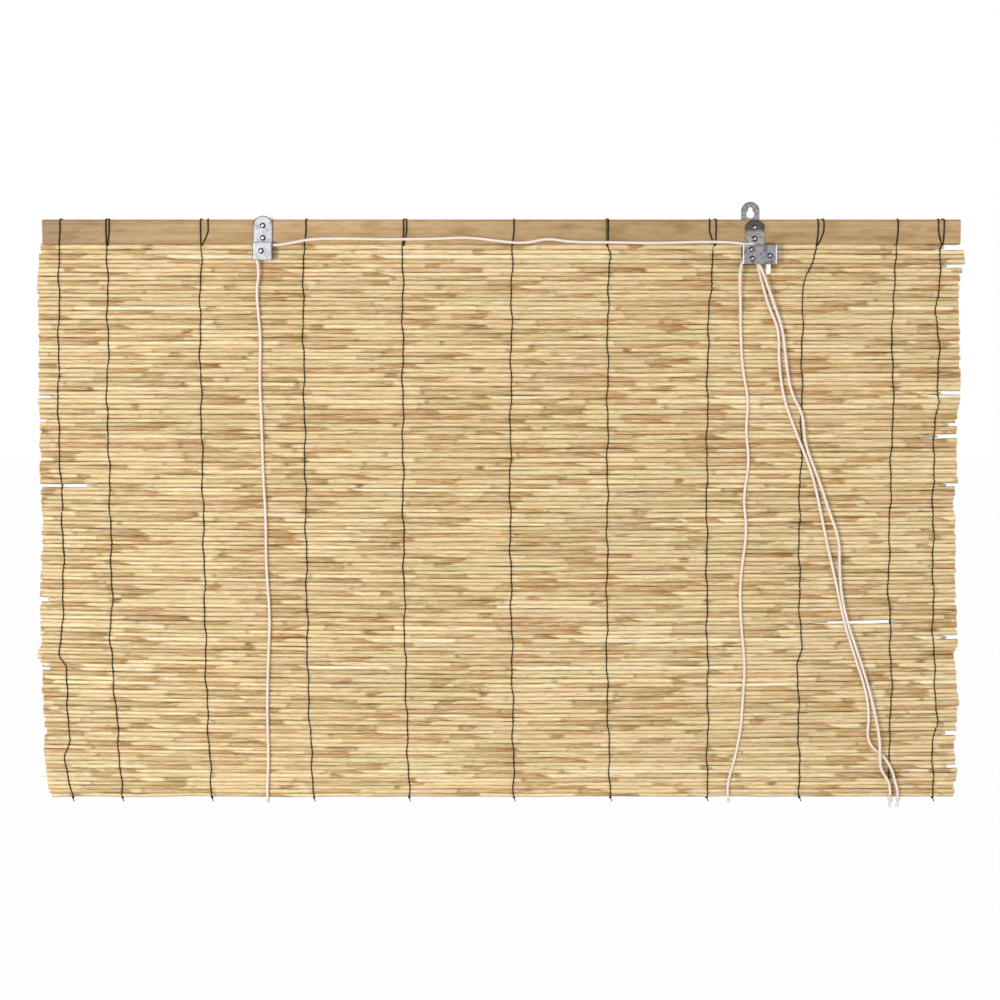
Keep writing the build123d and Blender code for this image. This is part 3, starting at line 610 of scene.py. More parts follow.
def rim_share(tree, place, middle_x, middle_z, radius):
    """1 along the edge of a round top end, fading within a millimetre or so."""
    off_x = maths(tree, "SUBTRACT", place["X"], middle_x * MM)
    off_z = maths(tree, "SUBTRACT", place["Z"], middle_z * MM)
    squares = maths(tree, "MULTIPLY_ADD", off_x, off_x, maths(tree, "MULTIPLY", off_z, off_z))
    inwards = maths(tree, "SUBTRACT", radius * MM, maths(tree, "SQRT", squares))
    near = spread(tree, inwards, 0.5 * MM, 1.6 * MM, 0.8, 0.0)
    return maths(tree, "MULTIPLY", near, spread(tree, off_z, 0.0, 1 * MM))


def steel_material(name, bright, dull, roughness, painted_shade_above=None, lines=(), rim=None):
    """Galvanised steel between two tones, with its crystal patches, and optional painted shadow and
    highlight lines, a painted shadow round a round top and painted shade above a height.
    """
    material, tree, shader = new_material(name, metallic=1.0)
    coords = object_coords(tree)
    skin = place_group(tree, zinc_skin, {"Vector": coords})
    colour = colour_steps(tree, skin["Tone"], [(0.3, dull), (0.55, bright), (0.8, bright)])
    place = add_node(tree, "ShaderNodeSeparateXYZ", {0: coords}).outputs
    colour = drawn_lines(tree, place, colour, lines)
    # Painted shadow along the edge of the round top end.
    if rim is not None:
        colour = mix_colour(tree, rim_share(tree, place, *rim), colour, shadow)
    # Painted shade: darker above the given height.
    if painted_shade_above is not None:
        share = spread(tree, place["Z"], (painted_shade_above - 2.5) * MM, (painted_shade_above + 2.5) * MM, 0.0, 0.8)
        colour = mix_colour(tree, share, colour, ink(40, 39, 38))
    tree.links.new(colour, shader.inputs["Base Color"])
    tree.links.new(spread(tree, skin["Relief"], 0.3, 0.7, roughness - 0.08, roughness + 0.12),
                   shader.inputs["Roughness"])
    raise_surface(tree, shader, skin["Relief"], 0.12, 0.3 * MM)
    return material


def rivet_material(name, top_shade):
    """Rivet heads with painted light: a painted highlight on the crown, painted shade round the rim and, as
    much as top_shade asks, towards the top.
    """
    material, tree, shader = new_material(name, metallic=1.0)
    facing = add_node(tree, "ShaderNodeSeparateXYZ",
                      {0: add_node(tree, "ShaderNodeTexCoord").outputs["Normal"]})
    # Painted highlight on the crown where the head faces the front, painted dark rim round it.
    painted_crown_highlight = spread(tree, maths(tree, "ABSOLUTE", facing.outputs["Y"]), 0.965, 0.992)
    colour = mix_colour(tree, painted_crown_highlight, ink(66, 66, 70), ink(226, 226, 230))
    # Painted shade towards the top.
    painted_top_shade = spread(tree, facing.outputs["Z"], -0.15, 0.25, 0.0, top_shade)
    colour = mix_colour(tree, painted_top_shade, colour, ink(46, 45, 46))
    tree.links.new(colour, shader.inputs["Base Color"])
    skin = place_group(tree, zinc_skin, {"Vector": object_coords(tree), "Patch": 900.0})
    tree.links.new(spread(tree, skin["Relief"], 0.3, 0.7, 0.22, 0.4), shader.inputs["Roughness"])
    return material


def nylon_material():
    """Off-white moulded nylon."""
    material, tree, shader = new_material("sheave_nylon", roughness=0.42)
    mottle = add_node(tree, "ShaderNodeTexNoise",
                      {"Vector": object_coords(tree), "Scale": 300.0, "Detail": 3.0})
    colour = mix_colour(tree, mottle.outputs[0], ink(236, 232, 220), ink(214, 208, 192))
    tree.links.new(colour, shader.inputs["Base Color"])
    return material


def brake_material():
    """Pale yellow plated cam, its tone varying in patches."""
    material, tree, shader = new_material("plated_cam", metallic=0.2)
    skin = place_group(tree, zinc_skin, {"Vector": object_coords(tree), "Patch": 600.0})
    colour = colour_steps(tree, skin["Tone"], [(0.3, ink(238, 237, 208)), (0.7, ink(255, 255, 242))])
    tree.links.new(colour, shader.inputs["Base Color"])
    tree.links.new(spread(tree, skin["Relief"], 0.3, 0.7, 0.3, 0.5), shader.inputs["Roughness"])
    return material


def cord_material():
    """White braided cord, its braid laid along the cord's own map."""
    material, tree, shader = new_material("white_cord", roughness=0.85, specular_ior_level=0.2)
    own_map = add_node(tree, "ShaderNodeTexCoord").outputs["UV"]
    across = add_node(tree, "ShaderNodeSeparateXYZ", {0: own_map}).outputs
    waves = []
    for side in (1, -1):
        turned = maths(tree, "MULTIPLY_ADD", across["X"], 6 * side * 2 * math.pi,
                       maths(tree, "MULTIPLY", across["Y"], 2 * math.pi / (4.2 * MM)))
        waves.append(maths(tree, "SINE", turned))
    braid = maths(tree, "MAXIMUM", waves[0], waves[1])
    braid_height_with_groove_shade = spread(tree, braid, -0.6, 0.5)
    dust = add_node(tree, "ShaderNodeTexNoise",
                    {"Vector": object_coords(tree), "Scale": 60.0, "Detail": 3.0})
    clean = mix_colour(tree, dust.outputs[0], ink(253, 245, 230), ink(242, 228, 210))
    # Painted shade in the braid's grooves, pinkish grey.
    colour = mix_colour(tree, braid_height_with_groove_shade, ink(206, 180, 172), clean)
    # Painted lilac shade along the cord's sides, where its surface turns away from the front.
    facing = add_node(tree, "ShaderNodeTexCoord").outputs["Normal"]
    facing = maths(tree, "ABSOLUTE", add_node(tree, "ShaderNodeSeparateXYZ", {0: facing}).outputs["Y"])
    colour = mix_colour(tree, spread(tree, facing, 0.3, 0.8, 0.5, 0.0), colour, ink(224, 196, 212))
    tree.links.new(colour, shader.inputs["Base Color"])
    raise_surface(tree, shader, braid_height_with_groove_shade, 0.5, 0.25 * MM)
    return material


straw = reed_material()
lath = rail_material()
twine = twine_material()
cover_low, cover_high = (Vector(corner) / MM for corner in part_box("lock_cover_right"))
left_low, left_high = (Vector(corner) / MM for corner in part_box("mounting_plate_left"))
left_cover_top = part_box("pulley_cover_left")[1][2] / MM
# Painted shadow and painted highlight colours for lines along plate edges and bends, and for round top
# rims.
shadow, shine = ink(84, 85, 90), ink(212, 212, 216)
# Left bracket plate and pulley cover: painted lighter as the lit copy of the bracket steel, with painted
# shadow lines along the plate's sides and the cover's top, and a painted shadow round the plate's round
# top.
lit_painted_steel = steel_material("galvanised_steel_painted_lit", ink(184, 185, 187), ink(160, 161, 164), 0.38, lines=(
    ("X", left_low.x, 1.0, shadow), ("X", left_high.x, 1.2, shadow), ("Z", left_cover_top, 0.9, shadow)),
                            rim=rounded_top("mounting_plate_left"))
# Left hanger plate: painted near white as glare, the lit copy of the right tab's steel.
glare_painted_steel = steel_material("galvanised_steel_painted_glare", ink(250, 250, 252), ink(240, 240, 243), 0.4)
# Right hanger tab: painted grey as the shaded copy, with a painted shadow round its round top.
shaded_painted_tab_steel = steel_material("tab_galvanised_steel_painted_shade", ink(146, 146, 148), ink(112, 112, 115), 0.36,
                           rim=rounded_top("hanger_plate_right"))
# Right mounting plate: painted darker as the shaded copy, with painted shade over its upper part and a
# painted shadow line just above the lock cover.
shaded_painted_plate_steel = steel_material("plate_galvanised_steel_painted_shade", ink(160, 157, 150), ink(120, 117, 112), 0.36,
                             painted_shade_above=-19.5, lines=(("Z", cover_high.z + 0.7, 1.1, ink(34, 33, 32)),))
# Right lock cover and washer: painted darker as the shaded copy, with painted highlight lines along the
# cover's side flanges.
painted_shade_and_shine_cover_steel = steel_material("cover_galvanised_steel_painted_shade_and_shine", ink(148, 145, 149), ink(112, 110, 115), 0.34, lines=(
    ("X", cover_low.x + 1.0, 0.7, shine), ("X", cover_high.x - 1.5, 1.0, shine)))
# Rivets: painted crown highlights and painted dark rims; the right bracket's rivets are the shaded copy,
# also painted darker towards the top.
rivet_steel = rivet_material("rivet_steel", 0.0)
rivets_painted_shaded = rivet_material("rivets_painted_shaded", 0.85)
nylon = nylon_material()
plating = brake_material()
white_braid = cord_material()


def dress(node, material):
    """Gives a carried-over solid its finish."""
    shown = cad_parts[node]
    shown.data.materials.clear()
    shown.data.materials.append(material)


dress("head_rail", lath)
dress("hanger_plate_left", glare_painted_steel)
for node in ("mounting_plate_left", "pulley_cover_left"):
    dress(node, lit_painted_steel)
dress("hanger_plate_right", shaded_painted_tab_steel)
dress("mounting_plate_right", shaded_painted_plate_steel)
for node in ("lock_cover_right", "sheave_washer_right"):
    dress(node, painted_shade_and_shine_cover_steel)
for node in ("rail_rivets_left", "pulley_axle_left"):
    dress(node, rivet_steel)
for node in ("rail_rivets_right", "pulley_axle_right", "spacer_rivet_right", "brake_axle_right"):
    dress(node, rivets_painted_shaded)
for node in ("sheave_left", "sheave_right_back", "sheave_right_front"):
    dress(node, nylon)
dress("brake_cam", plating)


# Geometry node trees: reeds and twine laid along their guide lines

def new_tree(name, inputs):
    """Geometry tree with one geometry in and out, and named sizes: (name, kind, default)."""
    tree = bpy.data.node_groups.new(name, "GeometryNodeTree")
    tree.interface.new_socket(name="Guides", in_out="INPUT", socket_type="NodeSocketGeometry")
    for socket_name, kind, default in inputs:
        socket = tree.interface.new_socket(name=socket_name, in_out="INPUT", socket_type=kind)
        socket.default_value = default
    tree.interface.new_socket(name="Pieces", in_out="OUTPUT", socket_type="NodeSocketGeometry")
    entry = tree.nodes.new("NodeGroupInput")
    leave = tree.nodes.new("NodeGroupOutput")
    return tree, entry.outputs, leave.inputs


def guide_value(tree, name):
    made = add_node(tree, "GeometryNodeInputNamedAttribute", data_type="FLOAT")
    made.inputs["Name"].default_value = name
    return made.outputs[0]


def finished(tree, geometry, material):
    """Realized, smooth-shaded mesh with its material."""
    whole = add_node(tree, "GeometryNodeRealizeInstances", {0: geometry}).outputs[0]
    smooth = add_node(tree, "GeometryNodeSetShadeSmooth", {0: whole}).outputs[0]
    painted = add_node(tree, "GeometryNodeSetMaterial", {0: smooth})
    painted.inputs["Material"].default_value = material
    return painted.outputs[0]


def reed_tree():
    """Each guide becomes a round reed that wanders, swells and thins a little."""
    tree, given, out = new_tree("laid_reeds", [
        ("Segment", "NodeSocketFloat", 8 * MM),
        ("Sides", "NodeSocketInt", 8),
        ("Wander", "NodeSocketFloat", 0.5 * MM),
        ("Swelling", "NodeSocketFloat", 0.14),
        ("Depth Share", "NodeSocketFloat", 1.0),
        ("Middle Y", "NodeSocketFloat", 0.0),
    ])
    line = add_node(tree, "GeometryNodeMeshToCurve", {0: given["Guides"]}).outputs[0]
    line = add_node(tree, "GeometryNodeResampleCurve", {0: line, "Length": given["Segment"]},
                    mode="LENGTH").outputs[0]
    seed = guide_value(tree, "reed_seed")
    place = add_node(tree, "ShaderNodeSeparateXYZ",
                     {0: add_node(tree, "GeometryNodeInputPosition").outputs[0]})
    far_seed = maths(tree, "MULTIPLY", seed, 173.0)
    slow = maths(tree, "MULTIPLY_ADD", place.outputs["X"], 9.0, far_seed)
    quick = maths(tree, "MULTIPLY_ADD", place.outputs["X"], 22.0, far_seed)
    drift = add_node(tree, "ShaderNodeTexNoise", {"W": slow, "Scale": 1.0, "Detail": 1.0},
                     noise_dimensions="1D")
    girth = add_node(tree, "ShaderNodeTexNoise", {"W": quick, "Scale": 1.0, "Detail": 1.0},
                     noise_dimensions="1D")
    lift = maths(tree, "MULTIPLY", maths(tree, "SUBTRACT", drift.outputs[0], 0.5), given["Wander"])
    offset = add_node(tree, "ShaderNodeCombineXYZ", {"Z": lift, "Y": maths(tree, "MULTIPLY", lift, 0.8)})
    line = add_node(tree, "GeometryNodeSetPosition", {0: line, "Offset": offset.outputs[0]}).outputs[0]
    swell = maths(tree, "MULTIPLY_ADD", maths(tree, "SUBTRACT", girth.outputs[0], 0.5), given["Swelling"],
                  1.0)
    radius = maths(tree, "MULTIPLY", guide_value(tree, "reed_radius"), swell)
    line = add_node(tree, "GeometryNodeSetCurveRadius", {0: line, "Radius": radius}).outputs[0]
    ring = add_node(tree, "GeometryNodeCurvePrimitiveCircle", {"Resolution": given["Sides"], "Radius": 1.0})
    body = add_node(tree, "GeometryNodeCurveToMesh", {"Curve": line, "Profile Curve": ring.outputs[0],
                                                      "Fill Caps": True, "Scale": radius})
    around = add_node(tree, "GeometryNodeInputPosition").outputs[0]
    around = add_node(tree, "ShaderNodeSeparateXYZ", {0: around})
    from_middle = maths(tree, "SUBTRACT", around.outputs["Y"], given["Middle Y"])
    squeeze = maths(tree, "MULTIPLY", from_middle, maths(tree, "SUBTRACT", given["Depth Share"], 1.0))
    pressed = add_node(tree, "ShaderNodeCombineXYZ", {"Y": squeeze})
    shaped = add_node(tree, "GeometryNodeSetPosition",
                      {0: body.outputs[0], "Offset": pressed.outputs[0]}).outputs[0]
    # Steepness of each reed's surface, stored for the painted shade in the creases between reeds.
    facing = add_node(tree, "ShaderNodeSeparateXYZ",
                      {0: add_node(tree, "GeometryNodeInputNormal").outputs[0]})
    steep = maths(tree, "ABSOLUTE", facing.outputs["Z"])
    marked = add_node(tree, "GeometryNodeStoreNamedAttribute", {0: shaped, "Value": steep},
                      data_type="FLOAT", domain="POINT")
    marked.inputs["Name"].default_value = "painted_crease_shade"
    tree.links.new(finished(tree, marked.outputs[0], straw), out["Pieces"])
    return tree


def strand_tree():
    """Each guide becomes a round strand along a smooth curve through its points."""
    tree, given, out = new_tree("laid_strands", [
        ("Radius", "NodeSocketFloat", strand_radius * MM),
        ("Sides", "NodeSocketInt", 6),
        ("Smoothness", "NodeSocketInt", 2),
    ])
    line = add_node(tree, "GeometryNodeMeshToCurve", {0: given["Guides"]}).outputs[0]
    line = add_node(tree, "GeometryNodeCurveSplineType", {0: line}, spline_type="CATMULL_ROM").outputs[0]
    line = add_node(tree, "GeometryNodeSetSplineResolution",
                    {0: line, "Resolution": given["Smoothness"]}).outputs[0]
    ring = add_node(tree, "GeometryNodeCurvePrimitiveCircle",
                    {"Resolution": given["Sides"], "Radius": given["Radius"]})
    body = add_node(tree, "GeometryNodeCurveToMesh", {"Curve": line, "Profile Curve": ring.outputs[0],
                                                      "Fill Caps": True,
                                                      "Scale": guide_value(tree, "thickness")})
    tree.links.new(finished(tree, body.outputs[0], twine), out["Pieces"])
    return tree


def grow(name, guides, values, tree, sizes):
    """Runs a tree on guide lines, each a list of points, and keeps the plain mesh."""
    points, edges = [], []
    for guide in guides:
        first = len(points)
        points.extend(guide)
        edges.extend((at, at + 1) for at in range(first, len(points) - 1))
    mesh = bpy.data.meshes.new(name + "_guides")
    mesh.from_pydata([[c * MM for c in point] for point in points], edges, [])
    for value_name, numbers in values.items():
        attribute = mesh.attributes.new(value_name, "FLOAT", "POINT")
        attribute.data.foreach_set("value", numbers)
    piece = bpy.data.objects.new(name, mesh)
    bpy.context.collection.objects.link(piece)
    modifier = piece.modifiers.new("grow", "NODES")
    modifier.node_group = tree
    for item in tree.interface.items_tree:
        if item.in_out == "INPUT" and item.name in sizes:
            modifier[item.identifier] = sizes[item.name]
    depsgraph = bpy.context.evaluated_depsgraph_get()
    grown = bpy.data.meshes.new_from_object(piece.evaluated_get(depsgraph))
    piece.modifiers.clear()
    piece.data = grown
    bpy.data.meshes.remove(mesh)
    return piece


# Rows of reeds, as in the mat's solid

def along_route(route, depth):
    """X of a given route at a depth below the mat's top."""
    for (depth_a, x_a), (depth_b, x_b) in zip(route, route[1:]):
        if depth <= depth_b:
            return x_a + (x_b - x_a) * (depth - depth_a) / (depth_b - depth_a)
    return route[-1][1]


def sag_at(x, depth):
    """How far a row hangs lower between the sides, most at five sixths of the height."""
    growth = min(max((depth - 90) / 430, 0), 1)
    easing = min(max((mat_height - depth) / 75, 0), 1)
    across = (x - mat_middle_x) / mat_half_width
    return reed_sag * growth * growth * (3 - 2 * growth) * easing * (1 - across * across)


def shortfall(short_reeds, top, bottom):
    for depth, amount in short_reeds.items():
        if top >= mat_top_z - depth > bottom:
            return amount
    return 0


rng = random.Random(11)
row_weights = [1 + rng.uniform(-reed_size_spread, reed_size_spread) for row in range(reed_rows)]
row_edges = [mat_top_z]
for weight in row_weights:
    row_edges.append(row_edges[-1] - mat_height * weight / sum(row_weights))


shifts = random.Random(5)
row_shifts = [shifts.uniform(-reed_shift, reed_shift) for row in range(reed_rows)]


def reed_guide(start, end, middle_z, radius, taper, shift, tilt, tips):
    """Points and radii of one reed, hung along the sag of its row and thinned towards its tips."""
    steps = max(2, round((end - start) / guide_step))
    places = {start + (end - start) * step / steps for step in range(steps + 1)}
    places |= {start + tips[0], end - tips[1]}
    guide, radii = [], []
    for x in sorted(places):
        share = (x - start) / (end - start)
        lift = tilt * (share - 0.5) - sag_at(x, mat_top_z - middle_z)
        guide.append((x, mat_middle_y + shift, middle_z + lift))
        thick = radius * (1 + taper * (share - 0.5))
        for length, reach in zip(tips, (x - start, end - x)):
            if length and reach < length:
                thick *= 0.4 + 0.6 * reach / length
        radii.append(thick)
    return guide, radii


def tip_for(amount):
    """Length over which a reed thins, by how far it stops short."""
    if amount >= long_shortfall:
        return gap_tip_length
    return notch_tip_length if amount else tip_length


def lay_reeds(name, rows):
    """One piece of mat: a reed to each row, or two where a stretch is missing."""
    guides, radii, seeds = [], [], []
    for row in rows:
        top, bottom = row_edges[row], row_edges[row + 1]
        if row == 0:
            top = rail_bottom_z + rail_lap
        middle_z = (top + bottom) / 2
        depth = mat_top_z - middle_z
        radius = (top - bottom) / 2 * reed_overlap
        left_short = shortfall(short_left_reeds, top, bottom)
        right_short = shortfall(short_right_reeds, top, bottom)
        ragged = [rng.uniform(-0.5, 0.5) * reed_raggedness for side in range(2)]
        start = along_route(left_side, depth) + ragged[0] + left_short
        end = along_route(right_side, depth) + ragged[1] - right_short
        taper = rng.uniform(-reed_taper, reed_taper)
        tilt = rng.uniform(-reed_tilt, reed_tilt)
        gap_start, gap_end, gap_depth = missing_reed
        if top >= mat_top_z - gap_depth > bottom:
            spans = [(start, gap_start, (tip_length, gap_tip_length)),
                     (gap_end, end, (gap_tip_length, tip_length))]
        else:
            spans = [(start, end, (tip_for(left_short), tip_for(right_short)))]
        for span_start, span_end, tips in spans:
            guide, thick = reed_guide(span_start, span_end, middle_z, radius, taper, row_shifts[row], tilt,
                                      tips)
            guides.append(guide)
            radii.extend(value * MM for value in thick)
            seeds.extend([rng.random()] * len(guide))
    for depth, tip_x, root_x, radius in splinters:
        if row_edges[rows[0]] >= mat_top_z - depth > row_edges[rows[-1] + 1]:
            guides.append([(tip_x, mat_front_y + 0.6, mat_top_z - depth - 1),
                           (root_x, mat_front_y + 0.3, mat_top_z - depth)])
            radii.extend((0.3 * radius * MM, radius * MM))
            seeds.extend([rng.random()] * 2)
    sizes = {"Wander": reed_wander * MM, "Swelling": reed_swelling,
             "Depth Share": reed_depth_share, "Middle Y": mat_middle_y * MM}
    return grow(name, guides, {"reed_radius": radii, "reed_seed": seeds}, laid_reeds, sizes)


laid_reeds = reed_tree()
laid_strands = strand_tree()

reeds_upper = lay_reeds("reeds_upper", range(0, rows_per_piece))
reeds_lower = lay_reeds("reeds_lower", range(rows_per_piece, reed_rows))
for reeds in (reeds_upper, reeds_lower):
    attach(reeds, "blind")
    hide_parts("reed_mat")


# Binding threads: two strands that swap sides between the reeds

def thread_wander(number, depth):
    """Sideways wander over a few rows, its own for each thread."""
    return 0.8 * math.sin(depth / 11 + 2.1 * number) + 0.5 * math.sin(depth / 4.7 + 3.7 * number)


def twined_strand(number, route, front_first):
    """One strand down the mat, over a reed and behind the next."""
    points = []
    for row in range(reed_rows):
        top, bottom = row_edges[row], row_edges[row + 1]
        middle_depth = mat_top_z - (top + bottom) / 2
        x = along_route(route, middle_depth) + thread_wander(number, middle_depth)
        in_front = (row % 2 == 0) == front_first
        bulge = (top - bottom) / 2 * reed_overlap * reed_depth_share + strand_radius - strand_press
        y = mat_middle_y + row_shifts[row] + (-bulge if in_front else bulge)
        points.append((x, y, mat_top_z - middle_depth - sag_at(x, middle_depth)))
        edge_depth = mat_top_z - bottom
        side = strand_radius * 0.7 if in_front else -strand_radius * 0.7
        points.append((x + side, mat_middle_y - strand_crossing, bottom - sag_at(x, edge_depth)))
    return points


def rail_wrap(front_x, back_x, foot_x):
    """Up the rail's face, over its top and down its back."""
    front_y = rail_front_y - 1.3 * strand_radius
    back_y = rail_back_y + strand_radius
    top_z = rail_top_z + strand_radius
    return [
        (foot_x, front_y + 2.2, rail_bottom_z - 1.2),
        (foot_x + 0.3 * (front_x - foot_x), front_y + 0.2, rail_bottom_z + 2.5),
        (front_x, front_y, (rail_top_z + rail_bottom_z) / 2),
        (front_x, front_y, rail_top_z - 2.4),
        (front_x, front_y + 1.6, top_z - 0.5),
        (front_x, rail_front_y + 3.5, top_z),
        (back_x, rail_back_y - 1.5, top_z),
        (back_x, back_y, rail_top_z - 1),
        (back_x, back_y, (rail_top_z + rail_bottom_z) / 2),
        (foot_x, back_y, rail_bottom_z + 2),
    ]


def tie_thread(number, route, rail_x):
    """A thread: down the front strand, round the rail, down the back strand, and its knot."""
    front = twined_strand(number, route, True)
    back = twined_strand(number, route, False)
    on_rail = wide_strand_share if number == wide_strand_thread else rail_strand_share
    foot_x = route[0][1]
    wrap = rail_wrap(rail_x, rail_x + 0.8, foot_x)
    whole = front[::-1] + wrap + back
    thickness = [1.0] * len(front) + [on_rail] * len(wrap) + [1.0] * len(back)
    foot = (route[-1][1], mat_middle_y, mat_bottom_z - strand_radius)
    knot_line = []
    for step in range(13):
        turn = step / 12 * 4 * math.pi
        knot_line.append((foot[0] + 0.9 * math.cos(turn), foot[1] + 0.9 * math.sin(turn),
                          foot[2] - 0.1 * step))
    tail = [(foot[0] + 0.5, foot[1] - 1.2, foot[2] - 1.6), (foot[0] + 1.6, foot[1] - 1.6, foot[2] - 4.6)]
    guides = [whole, knot_line + tail]
    thickness += [1.0] * len(knot_line + tail)
    if number in second_wrap_on_rail:
        second_x = second_wrap_on_rail[number]
        guides.append(rail_wrap(second_x, second_x - 1.5, foot_x + 1.2))
        thickness += [rail_strand_share] * len(guides[-1])
    piece = grow(f"twine_{number}", guides, {"thickness": thickness}, laid_strands, {})
    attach(piece, "blind")
    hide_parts(f"binding_thread_{number}")


for number, (route, rail_x) in enumerate(zip(thread_routes, thread_on_rail), start=1):
    tie_thread(number, route, rail_x)


# Cords

def smooth_line(name, points):
    """Points read from the NURBS curve that the route's points control, in metres."""
    curve = bpy.data.curves.new(name, "CURVE")
    curve.dimensions = "3D"
    spline = curve.splines.new("NURBS")
    spline.points.add(len(points) - 1)
    for control, (x, y, z) in zip(spline.points, points):
        control.co = (x * MM, y * MM, z * MM, 1)
    spline.order_u = 3
    spline.use_endpoint_u = True
    spline.resolution_u = 8
    carrier = bpy.data.objects.new(name, curve)
    bpy.context.collection.objects.link(carrier)
    depsgraph = bpy.context.evaluated_depsgraph_get()
    line = bpy.data.meshes.new_from_object(carrier.evaluated_get(depsgraph))
    path = [vertex.co.copy() for vertex in line.vertices]
    bpy.data.objects.remove(carrier)
    bpy.data.curves.remove(curve)
    bpy.data.meshes.remove(line)
    return path


def tube(name, path, radius, sides, material, radii=None):
    """Closed tube round a line, with a map: U round it, V its length in metres."""
    points, faces, corners = [], [], []
    ahead = (path[1] - path[0]).normalized()
    side = ahead.cross(Vector((0, 1, 0)))
    if side.length < 0.1:
        side = ahead.cross(Vector((1, 0, 0)))
    side.normalize()
    travelled = 0
    lengths = []
    for at, centre in enumerate(path):
        before = path[max(at - 1, 0)]
        after = path[min(at + 1, len(path) - 1)]
        ahead = (after - before).normalized()
        side = (side - ahead * side.dot(ahead)).normalized()
        other = ahead.cross(side)
        travelled += (centre - before).length
        lengths.append(travelled)
        size = radius if radii is None else radii[at]
        for step in range(sides):
            turn = 2 * math.pi * step / sides
            points.append(centre + (side * math.cos(turn) + other * math.sin(turn)) * size)
    for ring in range(len(path) - 1):
        for step in range(sides):
            following = (step + 1) % sides
            low, high = ring * sides, (ring + 1) * sides
            faces.append((low + step, low + following, high + following, high + step))
            corners.extend([(step / sides, lengths[ring]), ((step + 1) / sides, lengths[ring]),
                            ((step + 1) / sides, lengths[ring + 1]), (step / sides, lengths[ring + 1])])
    last = (len(path) - 1) * sides
    faces.append(tuple(reversed(range(sides))))
    faces.append(tuple(range(last, last + sides)))
    corners.extend((step / sides, 0) for step in reversed(range(sides)))
    corners.extend((step / sides, travelled) for step in range(sides))
    mesh = bpy.data.meshes.new(name)
    mesh.from_pydata(points, [], faces)
    uv = mesh.uv_layers.new(name="along")
    for loop, corner in zip(uv.data, corners):
        loop.uv = corner
    mesh.shade_smooth()
    mesh.materials.append(material)
    piece = bpy.data.objects.new(name, mesh)
    bpy.context.collection.objects.link(piece)
    return piece, travelled


def overhand_knot(name, top, tail):
    """Pulled-tight knot below a point, with the cord's end hanging from it."""
    rope_radius = 1.25
    middle = Vector(top) - Vector((0, 0, knot_length / 2))
    line = []
    turns = 60
    for step in range(turns + 1):
        turn = 2 * math.pi * step / turns + 0.35
        reach_x = (math.sin(turn) + 2 * math.sin(2 * turn)) * 0.62
        reach_y = (math.cos(turn) - 2 * math.cos(2 * turn)) * 0.62
        rise = -math.sin(3 * turn) * 1.65
        line.append((middle + Vector((reach_x, reach_y, rise))) * MM)
    loops, length = tube(name, line, rope_radius * MM, 10, white_braid)
    ends = []
    if tail:
        end_line = [middle * MM, (middle - Vector((0.1, 0, 3))) * MM, (middle - Vector((0.3, 0.2, 6))) * MM,
                    (middle - Vector((0.9, 0.3, knot_length / 2 + knot_tail))) * MM]
        ends.append(tube(name + "_tail", end_line, cord_radius * MM, 10, white_braid,
                         [cord_radius * MM, cord_radius * MM, cord_radius * MM,
                          1.25 * cord_radius * MM])[0])
    if ends:
        with bpy.context.temp_override(active_object=loops, selected_editable_objects=[loops, *ends]):
            bpy.ops.object.join()
    return loops


def lay_cord(side, points):
    """One lift cord, with the knot behind the rail and the knot at its pull end."""
    path = smooth_line(f"cord_line_{side}", points)
    cord, length = tube(f"cord_{side}", path, cord_radius * MM, 10, white_braid)
    anchor_top = Vector(points[0]) + Vector((0, 0, knot_length))
    anchor = overhand_knot(f"anchor_{side}", anchor_top, False)
    pull = overhand_knot(f"pull_{side}", points[-1], True)
    for piece, node in ((cord, f"lift_cord_{side}"), (anchor, f"anchor_knot_{side}"),
                        (pull, f"pull_knot_{side}")):
        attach(piece, "blind")
        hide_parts(node)


lay_cord("left", left_cord_points)
lay_cord("right", right_cord_points)


# Floor, light and camera

def white_when_seen(tree):
    """1 where the camera, a mirror or glass looks straight at it."""
    path = add_node(tree, "ShaderNodeLightPath").outputs
    seen = maths(tree, "MAXIMUM", path["Is Camera Ray"], path["Is Glossy Ray"])
    return maths(tree, "MAXIMUM", seen, path["Is Transmission Ray"])


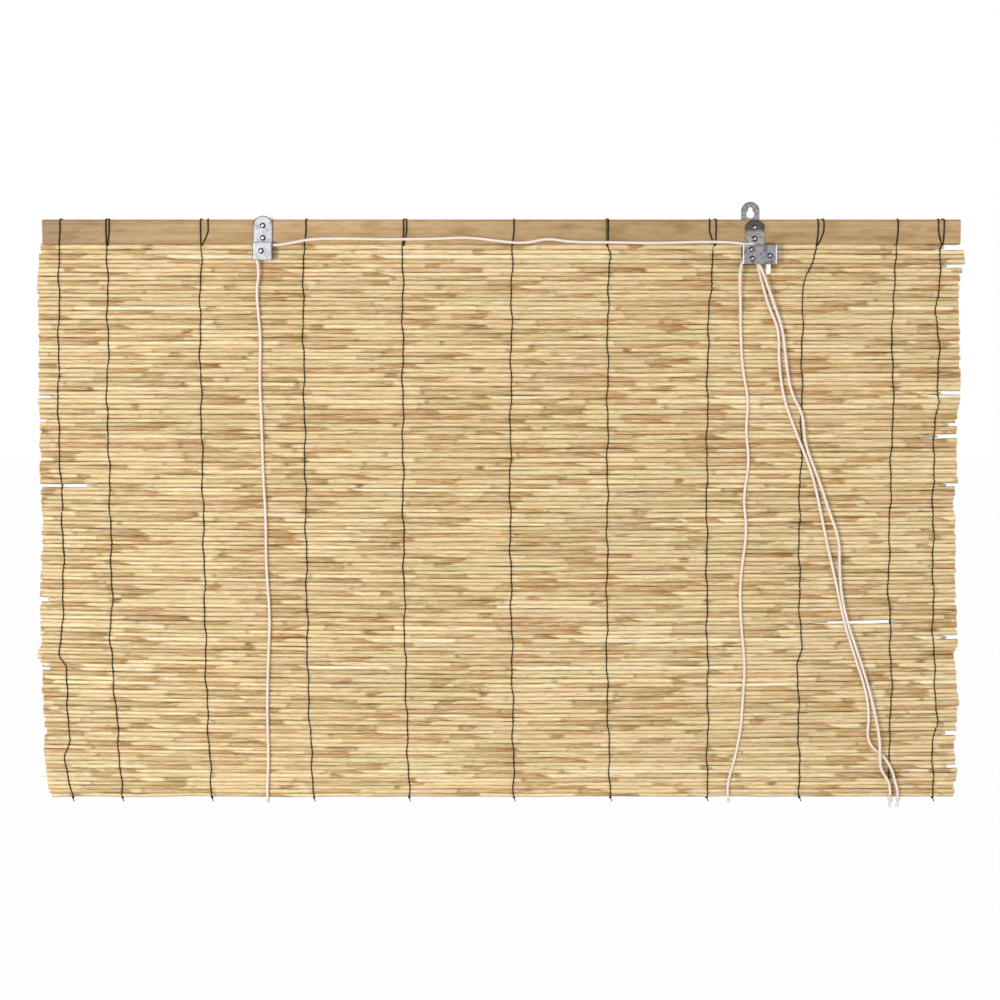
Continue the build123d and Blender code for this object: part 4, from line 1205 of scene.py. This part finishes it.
def pale_floor(height, reach):
    mesh = bpy.data.meshes.new("floor")
    corners = [(-reach, -reach, height), (reach, -reach, height), (reach, reach, height),
               (-reach, reach, height)]
    mesh.from_pydata(corners, [], [(0, 1, 2, 3)])
    material, tree, shader = new_material("pale_floor", roughness=0.9)
    shader.inputs["Base Color"].default_value = (1, 1, 1, 1)
    glow = add_node(tree, "ShaderNodeEmission", {"Color": (1, 1, 1, 1), "Strength": 1.0})
    share = maths(tree, "MULTIPLY", white_when_seen(tree), 0.97)
    mixed = add_node(tree, "ShaderNodeMixShader", {0: share, 1: shader.outputs[0], 2: glow.outputs[0]})
    tree.links.new(mixed.outputs[0], tree.nodes["Material Output"].inputs["Surface"])
    mesh.materials.append(material)
    floor = bpy.data.objects.new("floor", mesh)
    bpy.context.collection.objects.link(floor)


def surrounding_light(level):
    world = bpy.data.worlds.new("studio")
    bpy.context.scene.world = world
    world.use_nodes = True
    tree = world.node_tree
    strength = maths(tree, "MULTIPLY_ADD", white_when_seen(tree), 1 - level, level)
    back = tree.nodes["Background"]
    back.inputs["Color"].default_value = (1, 1, 1, 1)
    tree.links.new(strength, back.inputs["Strength"])


def soft_lamp(name, place, target, size, power):
    data = bpy.data.lights.new(name, "AREA")
    data.shape = "SQUARE"
    data.size = size
    data.energy = power
    lamp = bpy.data.objects.new(name, data)
    lamp.location = place
    lamp.rotation_euler = (Vector(target) - Vector(place)).to_track_quat("-Z", "Y").to_euler()
    bpy.context.collection.objects.link(lamp)


def photo_camera():
    """Straight in front, a little above the middle and tipped down."""
    data = bpy.data.cameras.new("camera")
    data.sensor_fit = "HORIZONTAL"
    data.angle = math.radians(37.983)
    camera = bpy.data.objects.new("camera", data)
    camera.location = (-0.0086, -1.60579, -0.21127)
    camera.rotation_euler = (math.radians(90 - 3.6274), 0, 0)
    bpy.context.collection.objects.link(camera)
    bpy.context.scene.camera = camera


middle = (0, 0, -0.33)
pale_floor(-1.25, 30)
surrounding_light(0.42)
soft_lamp("key", (-2.2, -3.4, -0.78), middle, 0.8, 94)
soft_lamp("fill", (1.9, -2.2, 1.0), middle, 1.6, 19)
photo_camera()
bpy.context.scene.view_settings.view_transform = "Standard"
